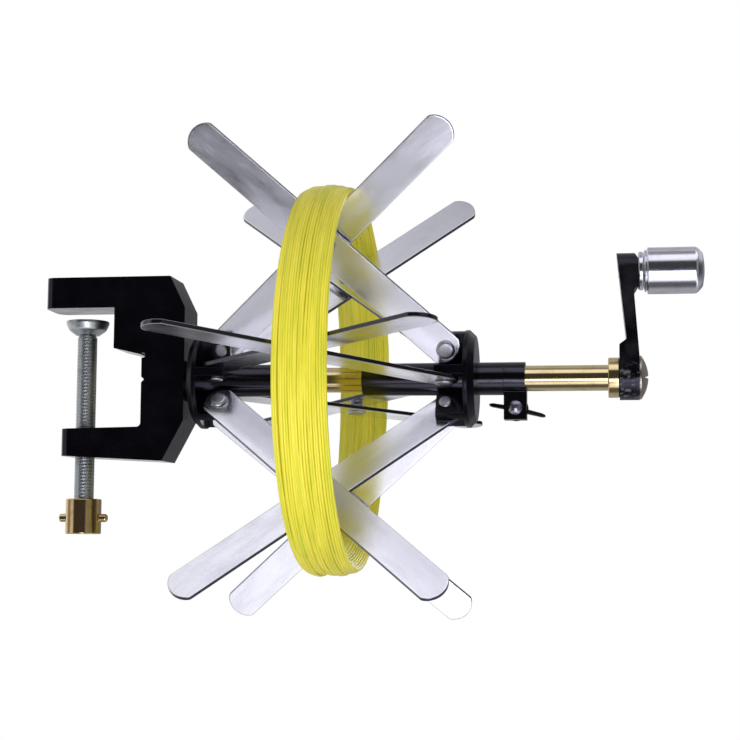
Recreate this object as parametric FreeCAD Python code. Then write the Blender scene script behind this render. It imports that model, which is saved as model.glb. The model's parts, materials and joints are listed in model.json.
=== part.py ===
import FreeCAD, Part
import math
import os

# Table-clamped fishing line winder: a folding six-spoke reel that turns on the side of a C-clamp.
# Millimetres. Origin: centre of the clamp's rest face, on the axis of the clamp screw.
# +X runs along the spindle towards the crank, +Z is up, the jaws open towards -X.

Vec = FreeCAD.Vector
X_AXIS = Vec(1, 0, 0)
Y_AXIS = Vec(0, 1, 0)
Z_AXIS = Vec(0, 0, 1)

# ---------------------------------------------------------------- driving dimensions
# Clamp body, a profile extruded along Y
clamp_width = 24.0            # along Y
upper_jaw_reach = 18.2        # screw axis to the tip of the upper jaw
upper_jaw_depth = 15.0        # thickness of the upper jaw
lower_jaw_reach = 9.2         # screw axis to the tip of the lower jaw
lower_jaw_tip_depth = 13.0    # thickness of the lower jaw at its tip
lower_jaw_fall = 0.8          # how far its upper face falls towards the tip
lower_jaw_root_depth = 16.4   # and where it meets the spine
throat_height = 57.6          # rest face to the lower jaw
spine_gap = 31.0              # screw axis to the spine
spine_depth = 21.0            # thickness of the spine along X
stop_gap = 17.0               # screw axis to the face that stops the table's edge
stop_drop = 19.7              # height of that face
stop_bevel = 3.6              # fall of the slope under it
top_bevel_x = 7.5             # bevel at the spine's upper corner
top_bevel_z = 15.3
bottom_bevel_x = 10.2         # bevel at the spine's lower corner
bottom_bevel_z = 19.2
jaw_tip_round = 5.0           # rounding of the upright edges at the jaw tips
throat_round = 2.0            # rounding in the throat's lower corner
undercut_radius = 1.2         # tool relief between the slope and the spine
centre_groove = 1.4           # depth of the V groove that marks the spindle's height

# Clamp screw
screw_diameter = 9.5
screw_gap = 5.2               # rest face to the pad in the stored pose
pad_diameter = 20.8
pad_height = 6.8
pad_rim = 1.0                 # straight rim of the pad
pad_neck_diameter = 11.4
pad_bulge = 1.3               # how far the dish stands out of a plain cone
pad_pivot_diameter = 5.0      # tip of the screw that turns in the pad
pad_pivot_depth = 4.0
screw_length = 95.5           # from the pad to the end inside the knob
knob_diameter = 17.2
knob_height = 17.0
knob_edge = 0.8               # chamfer of the knob
cross_pin_diameter = 4.0
cross_pin_length = 24.0
cross_pin_height = 7.8        # above the knob's lower face

# Spindle and its bearing in the clamp
axle_drop = 35.0              # rest face to the spindle axis
spindle_diameter = 12.0
journal_diameter = 10.0
bush_diameter = 14.0
recess_diameter = 17.0        # counterbore in the throat side of the spine
recess_depth = 6.0
retainer_diameter = 15.0
retainer_thickness = 1.5
retainer_screw_diameter = 5.0
retainer_head_diameter = 9.0
retainer_head_height = 3.2
retainer_screw_length = 14.0
thrust_washer_diameter = 20.0
thrust_washer_thickness = 3.0

# Hubs, one part used at both ends
hub_diameter = 46.2
hub_plate = 5.0               # thickness of the plate
hub_bevel = 3.0               # bevel of its outer rim
pivot_setback = 13.8          # plate's outer face to the arm pivots
pivot_radius = 16.0           # spindle axis to the arm pivots
lug_beyond_pivot = 4.5
lug_thickness = 4.4
tube_diameter = 15.5          # black tubes that carry the hubs
fixed_tube_reach = 40.4       # arm pivots to the inner end of the fixed tube
sliding_tube_reach = 40.3     # arm pivots to the inner end of the sliding tube
collar_setback = 26.6         # arm pivots to the lock collar
set_screw_diameter = 4.0
set_screw_inset = 7.0         # from the fixed tube's inner end

# Arms
arm_pairs = 6
turn_at_rest = 24.0           # angle of the first pair from straight up, about -X
arm_rise = 43.2               # angle between arm and spindle, in degrees
arm_reach = 155.0             # pivot to tip
arm_overhang = 5.8            # pivot to the inner end
arm_width = 16.0
arm_thickness = 2.0
arm_end_bulge = 4.6           # height of the rounded end's arc
arm_corner = 2.6
crossing_reach = 74.15        # pivot to the crossing rivet, seen along the pivot's axis
arm_lean = 1.1                # lean of an arm towards its partner, in degrees
pivot_pin_diameter = 4.0
pivot_head_diameter = 8.8
pivot_head_height = 1.3
pivot_tail_diameter = 6.3
pivot_tail_height = 1.0
crossing_pin_diameter = 3.0
crossing_head_diameter = 9.8
crossing_head_height = 1.2
crossing_shoulder_diameter = 6.4   # of the rivet, between the two arms
slide_travel = 37.4           # the hub's travel until its collar meets the flange
fold_ratio = 0.0131           # arm angle, in radians, per millimetre of that travel

# Lock collar and its wing nut
collar_ring_length = 10.0
collar_ear_length = 10.6
collar_ear_drop = 19.5        # spindle axis to the bottom of the ears
collar_ear_thickness = 3.5
collar_slit = 1.6
clamp_bolt_drop = 13.9
clamp_bolt_diameter = 4.0
clamp_bolt_head_diameter = 7.0
clamp_bolt_head_height = 2.4
clamp_bolt_spare = 3.0        # thread that stands past the wing nut
wing_hub_diameter = 11.8
wing_hub_height = 6.4
wing_span = 28.0
wing_thickness = 1.9
wing_rise = 7.0               # how far the wing tips stand past the hub's base
wing_width = 5.4
wing_turn = 12.0              # turn of the wings in the stored pose, in degrees

# End flange and crank
flange_diameter = 18.7
flange_thickness = 5.3
crank_hub_depth = 9.1         # along the spindle
crank_hub_radius = 10.5
crank_end_radius = 8.5
crank_throw = 50.0            # spindle axis to handle axis
crank_front_foot = 9.6        # height where the bar's front starts to lean back
crank_front_lean = 2.2        # how far it has fallen back below the boss
crank_back_foot = 17.1        # height where the bar's back leaves the hub's step
crank_back_inset = 3.3        # the step's depth
crank_back_lean = 4.2         # how far the back leans towards the reel at the top
crank_step_fall = 2.5         # slope of the step
crank_boss_radius = 6.6       # flat face round the handle's pin
crank_bevel = 1.8
crank_tenon_diameter = 9.0
crank_tenon_length = 6.0
crank_screw_diameter = 6.0
crank_screw_length = 16.0
crank_head_diameter = 20.4
crank_head_height = 4.1
crank_slot_width = 1.6
crank_slot_depth = 1.5

# Handle
handle_pin_diameter = 6.0
handle_pin_length = 21.0
handle_washer_diameter = 18.0
handle_washer_thickness = 2.4
knob_end_diameter = 18.6
handle_diameter = 21.8
handle_length = 27.7
handle_groove = 0.5
handle_dome = 4.1

# Wound line
line_width = 24.0             # of the coil, along the spindle
line_depth = 12.3             # radial depth of the coil
line_floor_half = 2.6         # half width of the coil's inner face

# Clearances
running_fit = 0.05            # radial, between a shaft and its bore
side_gap = 0.3                # between faces that move past each other
arm_gap = 0.4                 # between an arm and the lug that it turns on
joint_fit = 0.02              # radial, between pieces that are fixed together

# ---------------------------------------------------------------- worked out from them
half_width = clamp_width / 2
spine_x = spine_gap + spine_depth
screw_radius = screw_diameter / 2
tube_radius = tube_diameter / 2
spindle_radius = spindle_diameter / 2
hub_radius = hub_diameter / 2
arm_side = lug_thickness / 2 + arm_gap + arm_thickness / 2    # arm's middle from its lug's, at the pivot
lean = math.radians(arm_lean)
crossing_along = crossing_reach / math.cos(lean)
crossing_side = arm_side - crossing_reach * math.tan(lean)    # the same offset at the crossing
rise = math.radians(arm_rise)
pivot_distance = 2 * crossing_reach * math.cos(rise)
crossing_radius = pivot_radius + crossing_reach * math.sin(rise)

left_hub_x = spine_x + thrust_washer_thickness + side_gap
left_pivot_x = left_hub_x + pivot_setback
right_pivot_x = left_pivot_x + pivot_distance
right_hub_x = right_pivot_x + pivot_setback
crossing_x = left_pivot_x + pivot_distance / 2
collar_x = right_pivot_x + collar_setback
flange_x = collar_x + collar_ear_length + slide_travel + side_gap
crank_x = flange_x + flange_thickness
crank_face_x = crank_x + crank_hub_depth
handle_z = crank_throw - axle_drop


def axial_cylinder(radius, start_x, length, y=0.0, z=-axle_drop):
    """Cylinder along X; its axis is the spindle's unless y and z say otherwise."""
    return Part.makeCylinder(radius, length, Vec(start_x, y, z), X_AXIS)


def cap_solid(radius, height, centre, direction, edge=0.3):
    """Low domed rivet or screw head that stands on a plane, with a short straight edge."""
    bulge = height - edge
    rim = Vec(radius, 0, 0)
    shoulder = Vec(radius, 0, edge)
    peak = Vec(0, 0, height)
    ball = (radius ** 2 + bulge ** 2) / (2 * bulge)
    half_angle = math.asin(radius / ball) / 2
    middle = Vec(ball * math.sin(half_angle), 0, height - ball + ball * math.cos(half_angle))
    edges = [
        Part.makeLine(Vec(0, 0, 0), rim),
        Part.makeLine(rim, shoulder),
        Part.Arc(shoulder, middle, peak).toShape(),
        Part.makeLine(peak, Vec(0, 0, 0)),
    ]
    solid = Part.Face(Part.Wire(edges)).revolve(Vec(0, 0, 0), Z_AXIS, 360)
    turn = FreeCAD.Rotation(Z_AXIS, direction)
    solid.Placement = FreeCAD.Placement(centre, turn)
    return solid


def revolved(points):
    """Solid of revolution about the spindle's axis from (x, radius) points."""
    corners = [Vec(x, 0, radius - axle_drop) for x, radius in points]
    face = Part.Face(Part.makePolygon(corners + corners[:1]))
    return face.revolve(Vec(0, 0, -axle_drop), X_AXIS, 360)


def spoke_direction(index):
    """Unit vector from the spindle out along a pair of arms."""
    angle = math.radians(turn_at_rest + index * 360 / arm_pairs)
    return Vec(0, -math.sin(angle), math.cos(angle))


def spoke_frame(origin_x, radius, side, index, tilt, towards_crank):
    """Placement in a spoke's plane: x along the tilted arm, z through it, out of the plane."""
    outward = spoke_direction(index)
    tangent = X_AXIS.cross(outward)
    sign = 1 if towards_crank else -1
    along = X_AXIS * (sign * math.cos(tilt)) + outward * math.sin(tilt)
    normal = tangent * sign
    across = normal.cross(along)
    origin = Vec(origin_x, 0, -axle_drop) + outward * radius + tangent * side
    matrix = FreeCAD.Matrix(
        along.x, across.x, normal.x, origin.x,
        along.y, across.y, normal.y, origin.y,
        along.z, across.z, normal.z, origin.z,
        0, 0, 0, 1)
    return FreeCAD.Placement(matrix)


# ---------------------------------------------------------------- clamp
def clamp_profile():
    """Side view of the clamp body as (x, z) corners."""
    lower_top = -throat_height
    root_x = spine_x - bottom_bevel_x
    slope_end_x = spine_gap + undercut_radius
    return [
        (-upper_jaw_reach, 0.0),
        (stop_gap, 0.0),
        (stop_gap, -stop_drop),
        (slope_end_x, -stop_drop - stop_bevel),
        (spine_gap, -stop_drop - stop_bevel),
        (spine_gap, lower_top),
        (-lower_jaw_reach, lower_top - lower_jaw_fall),
        (-lower_jaw_reach, lower_top - lower_jaw_fall - lower_jaw_tip_depth),
        (root_x, lower_top - lower_jaw_root_depth),
        (spine_x, lower_top - lower_jaw_root_depth + bottom_bevel_z),
        (spine_x, upper_jaw_depth - top_bevel_z),
        (spine_x - top_bevel_x, upper_jaw_depth),
        (-upper_jaw_reach, upper_jaw_depth),
    ]


def upright_edges_at(shape, x):
    """Edges that run along Z at the given x."""
    found = []
    for edge in shape.Edges:
        ends = [vertex.Point for vertex in edge.Vertexes]
        if len(ends) == 2 and all(abs(p.x - x) < 1e-6 for p in ends):
            if abs(ends[0].y - ends[1].y) < 1e-6 and abs(ends[0].z - ends[1].z) > 1:
                found.append(edge)
    return found


def cross_edges_at(shape, x, z):
    """Edges that run along Y at the given x and z."""
    found = []
    for edge in shape.Edges:
        ends = [vertex.Point for vertex in edge.Vertexes]
        if len(ends) == 2 and all(abs(p.x - x) < 1e-6 and abs(p.z - z) < 1e-6 for p in ends):
            found.append(edge)
    return found


def clamp_frame():
    """C-shaped clamp body with the spindle's bore and the screw's threaded hole."""
    corners = [Vec(x, -half_width, z) for x, z in clamp_profile()]
    face = Part.Face(Part.makePolygon(corners + corners[:1]))
    body = face.extrude(Vec(0, clamp_width, 0))
    tips = upright_edges_at(body, -upper_jaw_reach) + upright_edges_at(body, -lower_jaw_reach)
    body = body.makeFillet(jaw_tip_round, tips)
    body = body.makeFillet(throat_round, cross_edges_at(body, spine_gap, -throat_height))

    undercut = Part.makeCylinder(
        undercut_radius, clamp_width,
        Vec(spine_gap + undercut_radius / 2, -half_width, -stop_drop - stop_bevel), Y_AXIS)
    groove_points = [
        Vec(spine_gap, -half_width, -axle_drop - centre_groove),
        Vec(spine_gap + centre_groove, -half_width, -axle_drop),
        Vec(spine_gap, -half_width, -axle_drop + centre_groove),
    ]
    groove_face = Part.Face(Part.makePolygon(groove_points + groove_points[:1]))
    groove = groove_face.extrude(Vec(0, clamp_width, 0))
    screw_hole = Part.makeCylinder(
        screw_radius + running_fit, lower_jaw_root_depth + 2,
        Vec(0, 0, -throat_height - lower_jaw_root_depth - 1), Z_AXIS)
    bush_bore = axial_cylinder(bush_diameter / 2 + joint_fit, spine_gap, spine_depth)
    recess = axial_cylinder(recess_diameter / 2, spine_gap, recess_depth)
    for tool in (undercut, groove, screw_hole, bush_bore, recess):
        body = body.cut(tool)
    return body.removeSplitter()


def spindle_bush():
    """Bronze bush pressed into the spine."""
    start = spine_gap + recess_depth
    length = spine_depth - recess_depth
    outer = axial_cylinder(bush_diameter / 2, start, length)
    return outer.cut(axial_cylinder(journal_diameter / 2 + running_fit, start, length))


def thrust_washer():
    """Washer between the spine and the left hub."""
    outer = axial_cylinder(thrust_washer_diameter / 2, spine_x, thrust_washer_thickness)
    bore = journal_diameter / 2 + side_gap
    return outer.cut(axial_cylinder(bore, spine_x, thrust_washer_thickness))


# ---------------------------------------------------------------- clamp screw
def clamp_pad():
    """Dished pad that swivels on the screw's tip and presses up against the table."""
    top = -screw_gap
    neck_z = top - pad_height
    centre = Vec(0, 0, top)
    edge = Vec(pad_diameter / 2, 0, top)
    rim = Vec(pad_diameter / 2, 0, top - pad_rim)
    neck = Vec(pad_neck_diameter / 2, 0, neck_z)
    foot = Vec(0, 0, neck_z)
    slope = rim - neck
    outwards = Vec(slope.z, 0, -slope.x).normalize()
    bowl = Part.Arc(rim, (rim + neck) / 2 + outwards * pad_bulge, neck).toShape()
    edges = [Part.makeLine(centre, edge), Part.makeLine(edge, rim), bowl,
             Part.makeLine(neck, foot), Part.makeLine(foot, centre)]
    pad = Part.Face(Part.Wire(edges)).revolve(Vec(0, 0, 0), Z_AXIS, 360)
    socket = Part.makeCylinder(
        pad_pivot_diameter / 2 + running_fit, pad_pivot_depth + side_gap,
        Vec(0, 0, neck_z), Z_AXIS)
    return pad.cut(socket)


def clamp_screw():
    """Threaded rod with a reduced tip that turns in the pad."""
    shoulder_z = -screw_gap - pad_height - side_gap
    rod = Part.makeCylinder(screw_radius, screw_length, Vec(0, 0, shoulder_z - screw_length), Z_AXIS)
    tip = Part.makeCylinder(
        pad_pivot_diameter / 2, pad_pivot_depth + side_gap / 2, Vec(0, 0, shoulder_z), Z_AXIS)
    pin_hole = Part.makeCylinder(
        cross_pin_diameter / 2 + joint_fit, screw_diameter,
        Vec(-screw_radius, 0, cross_pin_z()), X_AXIS)
    return rod.fuse(tip).cut(pin_hole).removeSplitter()


def knob_base_z():
    """Lower face of the knob; the rod ends 1 mm above it."""
    return -screw_gap - pad_height - side_gap - screw_length - 1.0


def cross_pin_z():
    """Height of the pin that crosses the knob."""
    return knob_base_z() + cross_pin_height


def clamp_knob():
    """Brass knob pinned to the lower end of the screw."""
    base = knob_base_z()
    body = Part.makeCylinder(knob_diameter / 2, knob_height, Vec(0, 0, base), Z_AXIS)
    rims = [edge for edge in body.Edges if len(edge.Vertexes) == 1]
    body = body.makeChamfer(knob_edge, rims)
    rod_hole = Part.makeCylinder(screw_radius + joint_fit, knob_height, Vec(0, 0, base + 1.0), Z_AXIS)
    pin_hole = Part.makeCylinder(
        cross_pin_diameter / 2 + joint_fit, knob_diameter,
        Vec(-knob_diameter / 2, 0, cross_pin_z()), X_AXIS)
    return body.cut(rod_hole).cut(pin_hole)


def knob_cross_pin():
    """Round-ended pin through knob and rod."""
    start = -cross_pin_length / 2
    pin = Part.makeCylinder(
        cross_pin_diameter / 2, cross_pin_length, Vec(start, 0, cross_pin_z()), X_AXIS)
    ends = [edge for edge in pin.Edges if len(edge.Vertexes) == 1]
    return pin.makeFillet(0.4 * cross_pin_diameter, ends)


# ---------------------------------------------------------------- spindle
def spindle():
    """Brass spindle: journal in the bush, plain shaft, tenon for the crank."""
    journal_x = spine_gap + recess_depth - side_gap
    journal = journal_diameter / 2
    tenon = crank_tenon_diameter / 2
    tenon_end = crank_x + crank_tenon_length
    shaft = revolved([
        (journal_x, 0), (journal_x, journal), (left_hub_x, journal), (left_hub_x, spindle_radius),
        (crank_x, spindle_radius), (crank_x, tenon), (tenon_end, tenon), (tenon_end, 0)])
    left_hole = axial_cylinder(
        retainer_screw_diameter / 2 + joint_fit, journal_x, retainer_screw_length + 1)
    screw_end = crank_face_x - crank_screw_length
    right_hole = axial_cylinder(
        crank_screw_diameter / 2 + joint_fit, screw_end - 1, tenon_end - screw_end + 1)
    seat = set_screw_solid(spindle_radius - 1.5, 2.0, joint_fit)
    return shaft.cut(left_hole).cut(right_hole).cut(seat)


def retaining_washer():
    """Washer that keeps the journal in its bush."""
    end = spine_gap + recess_depth - side_gap
    start = end - retainer_thickness
    outer = axial_cylinder(retainer_diameter / 2, start, retainer_thickness)
    hole = retainer_screw_diameter / 2 + joint_fit
    return outer.cut(axial_cylinder(hole, start, retainer_thickness))


def retaining_screw():
    """Screw in the journal's end, its head inside the clamp's recess."""
    head_face = spine_gap + recess_depth - side_gap - retainer_thickness
    head = cap_solid(
        retainer_head_diameter / 2, retainer_head_height, Vec(head_face, 0, -axle_drop), -X_AXIS, 1.6)
    shank = axial_cylinder(
        retainer_screw_diameter / 2, head_face, retainer_thickness + retainer_screw_length)
    return head.fuse(shank).removeSplitter()


# ---------------------------------------------------------------- hubs and tubes
def hub(outer_x, towards_crank):
    """Hub plate with one pierced lug per pair of arms; x runs from its outer face inwards."""
    sign = 1 if towards_crank else -1
    rim = hub_radius - hub_bevel
    plate = revolved([
        (outer_x, 0), (outer_x, rim), (outer_x + sign * hub_bevel, hub_radius),
        (outer_x + sign * hub_plate, hub_radius), (outer_x + sign * hub_plate, 0)])
    depth = pivot_setback + lug_beyond_pivot
    reach = Part.makeCylinder(
        hub_radius, depth, Vec(outer_x, 0, -axle_drop), X_AXIS * sign)
    for index in range(arm_pairs):
        lug = Part.makeBox(depth - hub_plate, hub_radius, lug_thickness)
        lug.translate(Vec(hub_plate, 0, -lug_thickness / 2))
        lug.Placement = spoke_frame(outer_x, 0, 0, index, 0, towards_crank).multiply(lug.Placement)
        pin_hole = Part.makeCylinder(
            pivot_pin_diameter / 2 + joint_fit, 2 * lug_thickness, Vec(0, 0, -lug_thickness))
        pin_hole.Placement = pivot_frame(index, towards_crank).multiply(pin_hole.Placement)
        plate = plate.fuse(lug.common(reach)).cut(pin_hole)
    bore = Part.makeCylinder(
        tube_radius + joint_fit, depth, Vec(outer_x, 0, -axle_drop), X_AXIS * sign)
    return plate.cut(bore).removeSplitter()


def pivot_frame(index, towards_crank):
    """Placement on an arm pivot's axis; z points from the arm into the hub's lug."""
    x = left_pivot_x if towards_crank else right_pivot_x
    return spoke_frame(x, pivot_radius, 0, index, 0, towards_crank)


def hub_pins(towards_crank):
    """The six arm rivets of one hub: head over the arm, tail on the lug's far side."""
    pins = []
    head_z = -arm_side - arm_thickness / 2 - side_gap
    tail_z = lug_thickness / 2
    for index in range(arm_pairs):
        shank = Part.makeCylinder(pivot_pin_diameter / 2, tail_z - head_z, Vec(0, 0, head_z))
        head = cap_solid(pivot_head_diameter / 2, pivot_head_height, Vec(0, 0, head_z), -Z_AXIS)
        tail = cap_solid(pivot_tail_diameter / 2, pivot_tail_height, Vec(0, 0, tail_z), Z_AXIS)
        pin = shank.fuse(head).fuse(tail).removeSplitter()
        pin.Placement = pivot_frame(index, towards_crank).multiply(pin.Placement)
        pins.append(pin)
    return Part.makeCompound(pins)


def carrier_tube(start_x, end_x, bore_radius):
    """Black tube that carries a hub on the spindle."""
    length = end_x - start_x
    outer = axial_cylinder(tube_radius, start_x, length)
    rims = [edge for edge in outer.Edges if len(edge.Vertexes) == 1]
    outer = outer.makeChamfer(0.4, rims)
    return outer.cut(axial_cylinder(bore_radius, start_x, length))


def left_tube_end():
    """Inner end of the fixed tube."""
    return left_pivot_x + fixed_tube_reach


def left_tube():
    """Tube fixed on the spindle by a set screw; it carries the left hub."""
    tube = carrier_tube(left_hub_x, left_tube_end(), spindle_radius + joint_fit)
    return tube.cut(set_screw_solid(spindle_radius - 1, tube_radius, joint_fit))


def set_screw_solid(inner_radius, length, extra):
    """Radial cylinder of the set screw, pointing down from the spindle."""
    x = left_tube_end() - set_screw_inset
    return Part.makeCylinder(
        set_screw_diameter / 2 + extra, length, Vec(x, 0, -axle_drop - inner_radius), -Z_AXIS)


def tube_set_screw():
    """Grub screw that locks the fixed tube to the spindle."""
    inner_radius = spindle_radius - 1.5
    screw = set_screw_solid(inner_radius, tube_radius - inner_radius, 0)
    socket_top = tube_radius - 1.2
    socket = Part.makeCylinder(
        set_screw_diameter / 4, 2,
        Vec(left_tube_end() - set_screw_inset, 0, -axle_drop - socket_top), -Z_AXIS)
    return screw.cut(socket)


def slider_tube():
    """Sliding tube: it carries the right hub and the lock collar."""
    start = right_pivot_x - sliding_tube_reach
    return carrier_tube(start, collar_x, spindle_radius + running_fit)


# ---------------------------------------------------------------- arms
def arm_blank():
    """Flat bar with bowed ends; x along the arm from its pivot, y across, z through."""
    half = arm_width / 2
    tip = arm_reach
    tail = -arm_overhang
    tip_shoulder = tip - arm_end_bulge
    tail_shoulder = tail + arm_end_bulge
    low = -arm_thickness / 2
    edges = [
        Part.makeLine(Vec(tail_shoulder, -half, low), Vec(tip_shoulder, -half, low)),
        Part.Arc(Vec(tip_shoulder, -half, low), Vec(tip, 0, low), Vec(tip_shoulder, half, low)).toShape(),
        Part.makeLine(Vec(tip_shoulder, half, low), Vec(tail_shoulder, half, low)),
        Part.Arc(Vec(tail_shoulder, half, low), Vec(tail, 0, low), Vec(tail_shoulder, -half, low)).toShape(),
    ]
    bar = Part.Face(Part.Wire(edges)).extrude(Vec(0, 0, arm_thickness))
    corners = []
    for edge in bar.Edges:
        ends = [vertex.Point for vertex in edge.Vertexes]
        if len(ends) == 2 and abs(ends[0].z - ends[1].z) > arm_thickness / 2:
            corners.append(edge)
    bar = bar.makeFillet(arm_corner, corners)
    hole = pivot_pin_diameter / 2 + running_fit
    return bar.cut(Part.makeCylinder(hole, arm_thickness + 2, Vec(0, 0, low - 1)))


def arm_frame(index, towards_crank):
    """Placement of an arm, pivoted on the left hub if it points towards the crank."""
    x = left_pivot_x if towards_crank else right_pivot_x
    side = -arm_side if towards_crank else arm_side
    upright = spoke_frame(x, pivot_radius, side, index, rise, towards_crank)
    return upright.multiply(FreeCAD.Placement(Vec(0, 0, 0), FreeCAD.Rotation(Y_AXIS, -arm_lean)))


def crossing_drift():
    """Path of the crossing rivet in a right arm over the fold, as (along, across) offsets."""
    path = []
    steps = 60
    for step in range(steps + 1):
        moved = slide_travel * step / steps
        tilt = rise - fold_ratio * moved
        error = 2 * crossing_reach * math.cos(tilt) - pivot_distance - moved
        path.append((-error * math.cos(tilt), error * math.sin(tilt)))
    return path


def crossing_slot():
    """Slot that lets the rivet drift, lined up with the ends of its path."""
    path = crossing_drift()
    first = min(path)
    last = max(path)
    heading = math.atan2(last[1] - first[1], last[0] - first[0])
    along = [x * math.cos(heading) + y * math.sin(heading) for x, y in path]
    across = [y * math.cos(heading) - x * math.sin(heading) for x, y in path]
    radius = crossing_pin_diameter / 2 + side_gap + (max(across) - min(across)) / 2
    middle = (max(across) + min(across)) / 2
    length = max(along) - min(along)
    height = arm_thickness + 2
    slot = Part.makeBox(length, 2 * radius, height, Vec(min(along), middle - radius, -height / 2))
    for end in (min(along), max(along)):
        slot = slot.fuse(Part.makeCylinder(radius, height, Vec(end, middle, -height / 2)))
    slot.rotate(Vec(0, 0, 0), Z_AXIS, math.degrees(heading))
    slot.translate(Vec(crossing_along, 0, 0))
    return slot


def left_arm(index):
    """Arm that pivots on the left hub and holds the crossing rivet."""
    hole = Part.makeCylinder(
        crossing_pin_diameter / 2 + joint_fit, arm_thickness + 2,
        Vec(crossing_along, 0, -arm_thickness / 2 - 1))
    arm = arm_blank().cut(hole)
    arm.Placement = arm_frame(index, True)
    return arm


def right_arm(index):
    """Arm that pivots on the right hub and is slotted for the crossing rivet."""
    arm = arm_blank().cut(crossing_slot())
    arm.Placement = arm_frame(index, False)
    return arm


def crossing_rivet(index):
    """Shouldered rivet fixed in the left arm, with its loose head over the right arm."""
    near_z = -arm_thickness / 2
    far_z = 2 * crossing_side + arm_thickness / 2 + side_gap
    shoulder_height = 2 * crossing_side - arm_thickness - side_gap
    shank = Part.makeCylinder(crossing_pin_diameter / 2, far_z - near_z, Vec(0, 0, near_z))
    radius = crossing_head_diameter / 2
    near_head = cap_solid(radius, crossing_head_height, Vec(0, 0, near_z), -Z_AXIS)
    far_head = cap_solid(radius, crossing_head_height, Vec(0, 0, far_z), Z_AXIS)
    shoulder = Part.makeCylinder(
        crossing_shoulder_diameter / 2, shoulder_height, Vec(0, 0, arm_thickness / 2))
    rivet = shank.fuse(near_head).fuse(far_head).fuse(shoulder).removeSplitter()
    rivet.translate(Vec(crossing_along, 0, 0))
    rivet.Placement = arm_frame(index, True).multiply(rivet.Placement)
    return rivet


# ---------------------------------------------------------------- lock collar
def bolt_z():
    """Height of the bolt that draws the collar's ears together."""
    return -axle_drop - clamp_bolt_drop


def bolt_x():
    """Middle of the ears along the spindle."""
    return collar_x + collar_ear_length / 2


def lock_collar():
    """Split ring at the end of the sliding tube with two ears that hang down."""
    ring = axial_cylinder(tube_radius, collar_x, collar_ring_length)
    ear_width = collar_slit + 2 * collar_ear_thickness
    ears = Part.makeBox(
        collar_ear_length, ear_width, collar_ear_drop,
        Vec(collar_x, -ear_width / 2, -axle_drop - collar_ear_drop))
    bore = axial_cylinder(spindle_radius + running_fit, collar_x, collar_ear_length)
    bolt_hole = Part.makeCylinder(
        clamp_bolt_diameter / 2 + joint_fit, ear_width, Vec(bolt_x(), -ear_width / 2, bolt_z()), Y_AXIS)
    slit = Part.makeBox(
        collar_ear_length, collar_slit, collar_ear_drop,
        Vec(collar_x, -collar_slit / 2, -axle_drop - collar_ear_drop))
    body = ring.fuse(ears).removeSplitter()
    for tool in (bore, bolt_hole, slit):
        body = body.cut(tool)
    return body


def ear_face_y():
    """Outer face of an ear, from the middle plane."""
    return collar_slit / 2 + collar_ear_thickness


def collar_bolt():
    """Bolt through both ears, head towards -Y."""
    face = ear_face_y()
    length = 2 * face + side_gap + wing_hub_height + clamp_bolt_spare
    shank = Part.makeCylinder(clamp_bolt_diameter / 2, length, Vec(bolt_x(), -face, bolt_z()), Y_AXIS)
    head = cap_solid(
        clamp_bolt_head_diameter / 2, clamp_bolt_head_height,
        Vec(bolt_x(), -face, bolt_z()), -Y_AXIS, 0.8)
    return head.fuse(shank).removeSplitter()


def wing_nut():
    """Wing nut on the far side of the ears."""
    base = ear_face_y() + side_gap
    centre = Vec(bolt_x(), base, bolt_z())
    nut = Part.makeCylinder(wing_hub_diameter / 2, wing_hub_height, centre, Y_AXIS)
    half_span = wing_span / 2
    tip_low = wing_rise
    tip_high = wing_rise + wing_width
    for side in (1, -1):
        outline = [
            Vec(bolt_x(), base + 0.6, bolt_z()),
            Vec(bolt_x() + side * half_span * 0.55, base + 0.6 + tip_low * 0.35, bolt_z()),
            Vec(bolt_x() + side * half_span, base + tip_low, bolt_z()),
            Vec(bolt_x() + side * half_span, base + tip_high, bolt_z()),
            Vec(bolt_x() + side * half_span * 0.6, base + tip_high, bolt_z()),
            Vec(bolt_x() + side * wing_hub_diameter * 0.3, base + wing_hub_height, bolt_z()),
            Vec(bolt_x(), base + wing_hub_height, bolt_z()),
        ]
        wing = Part.Face(Part.makePolygon(outline + outline[:1])).extrude(Vec(0, 0, wing_thickness))
        wing.translate(Vec(0, 0, -wing_thickness / 2))
        tips = []
        for edge in wing.Edges:
            ends = [vertex.Point for vertex in edge.Vertexes]
            at_tip = all(abs(abs(p.x - bolt_x()) - half_span) < 1e-6 for p in ends)
            if at_tip and abs(ends[0].z - ends[1].z) > wing_thickness / 2:
                tips.append(edge)
        nut = nut.fuse(wing.makeFillet(0.35 * wing_width, tips))
    nut.rotate(centre, Y_AXIS, wing_turn)
    bore = Part.makeCylinder(
        clamp_bolt_diameter / 2 + running_fit, wing_hub_height + tip_high, centre, Y_AXIS)
    return nut.removeSplitter().cut(bore)


# ---------------------------------------------------------------- flange and crank
def end_flange():
    """Brass collar that ends the spindle and stops the sliding hub."""
    outer = axial_cylinder(flange_diameter / 2, flange_x, flange_thickness)
    rims = [edge for edge in outer.Edges if len(edge.Vertexes) == 1]
    outer = outer.makeChamfer(0.5, rims)
    return outer.cut(axial_cylinder(spindle_radius + joint_fit, flange_x, flange_thickness))


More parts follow.
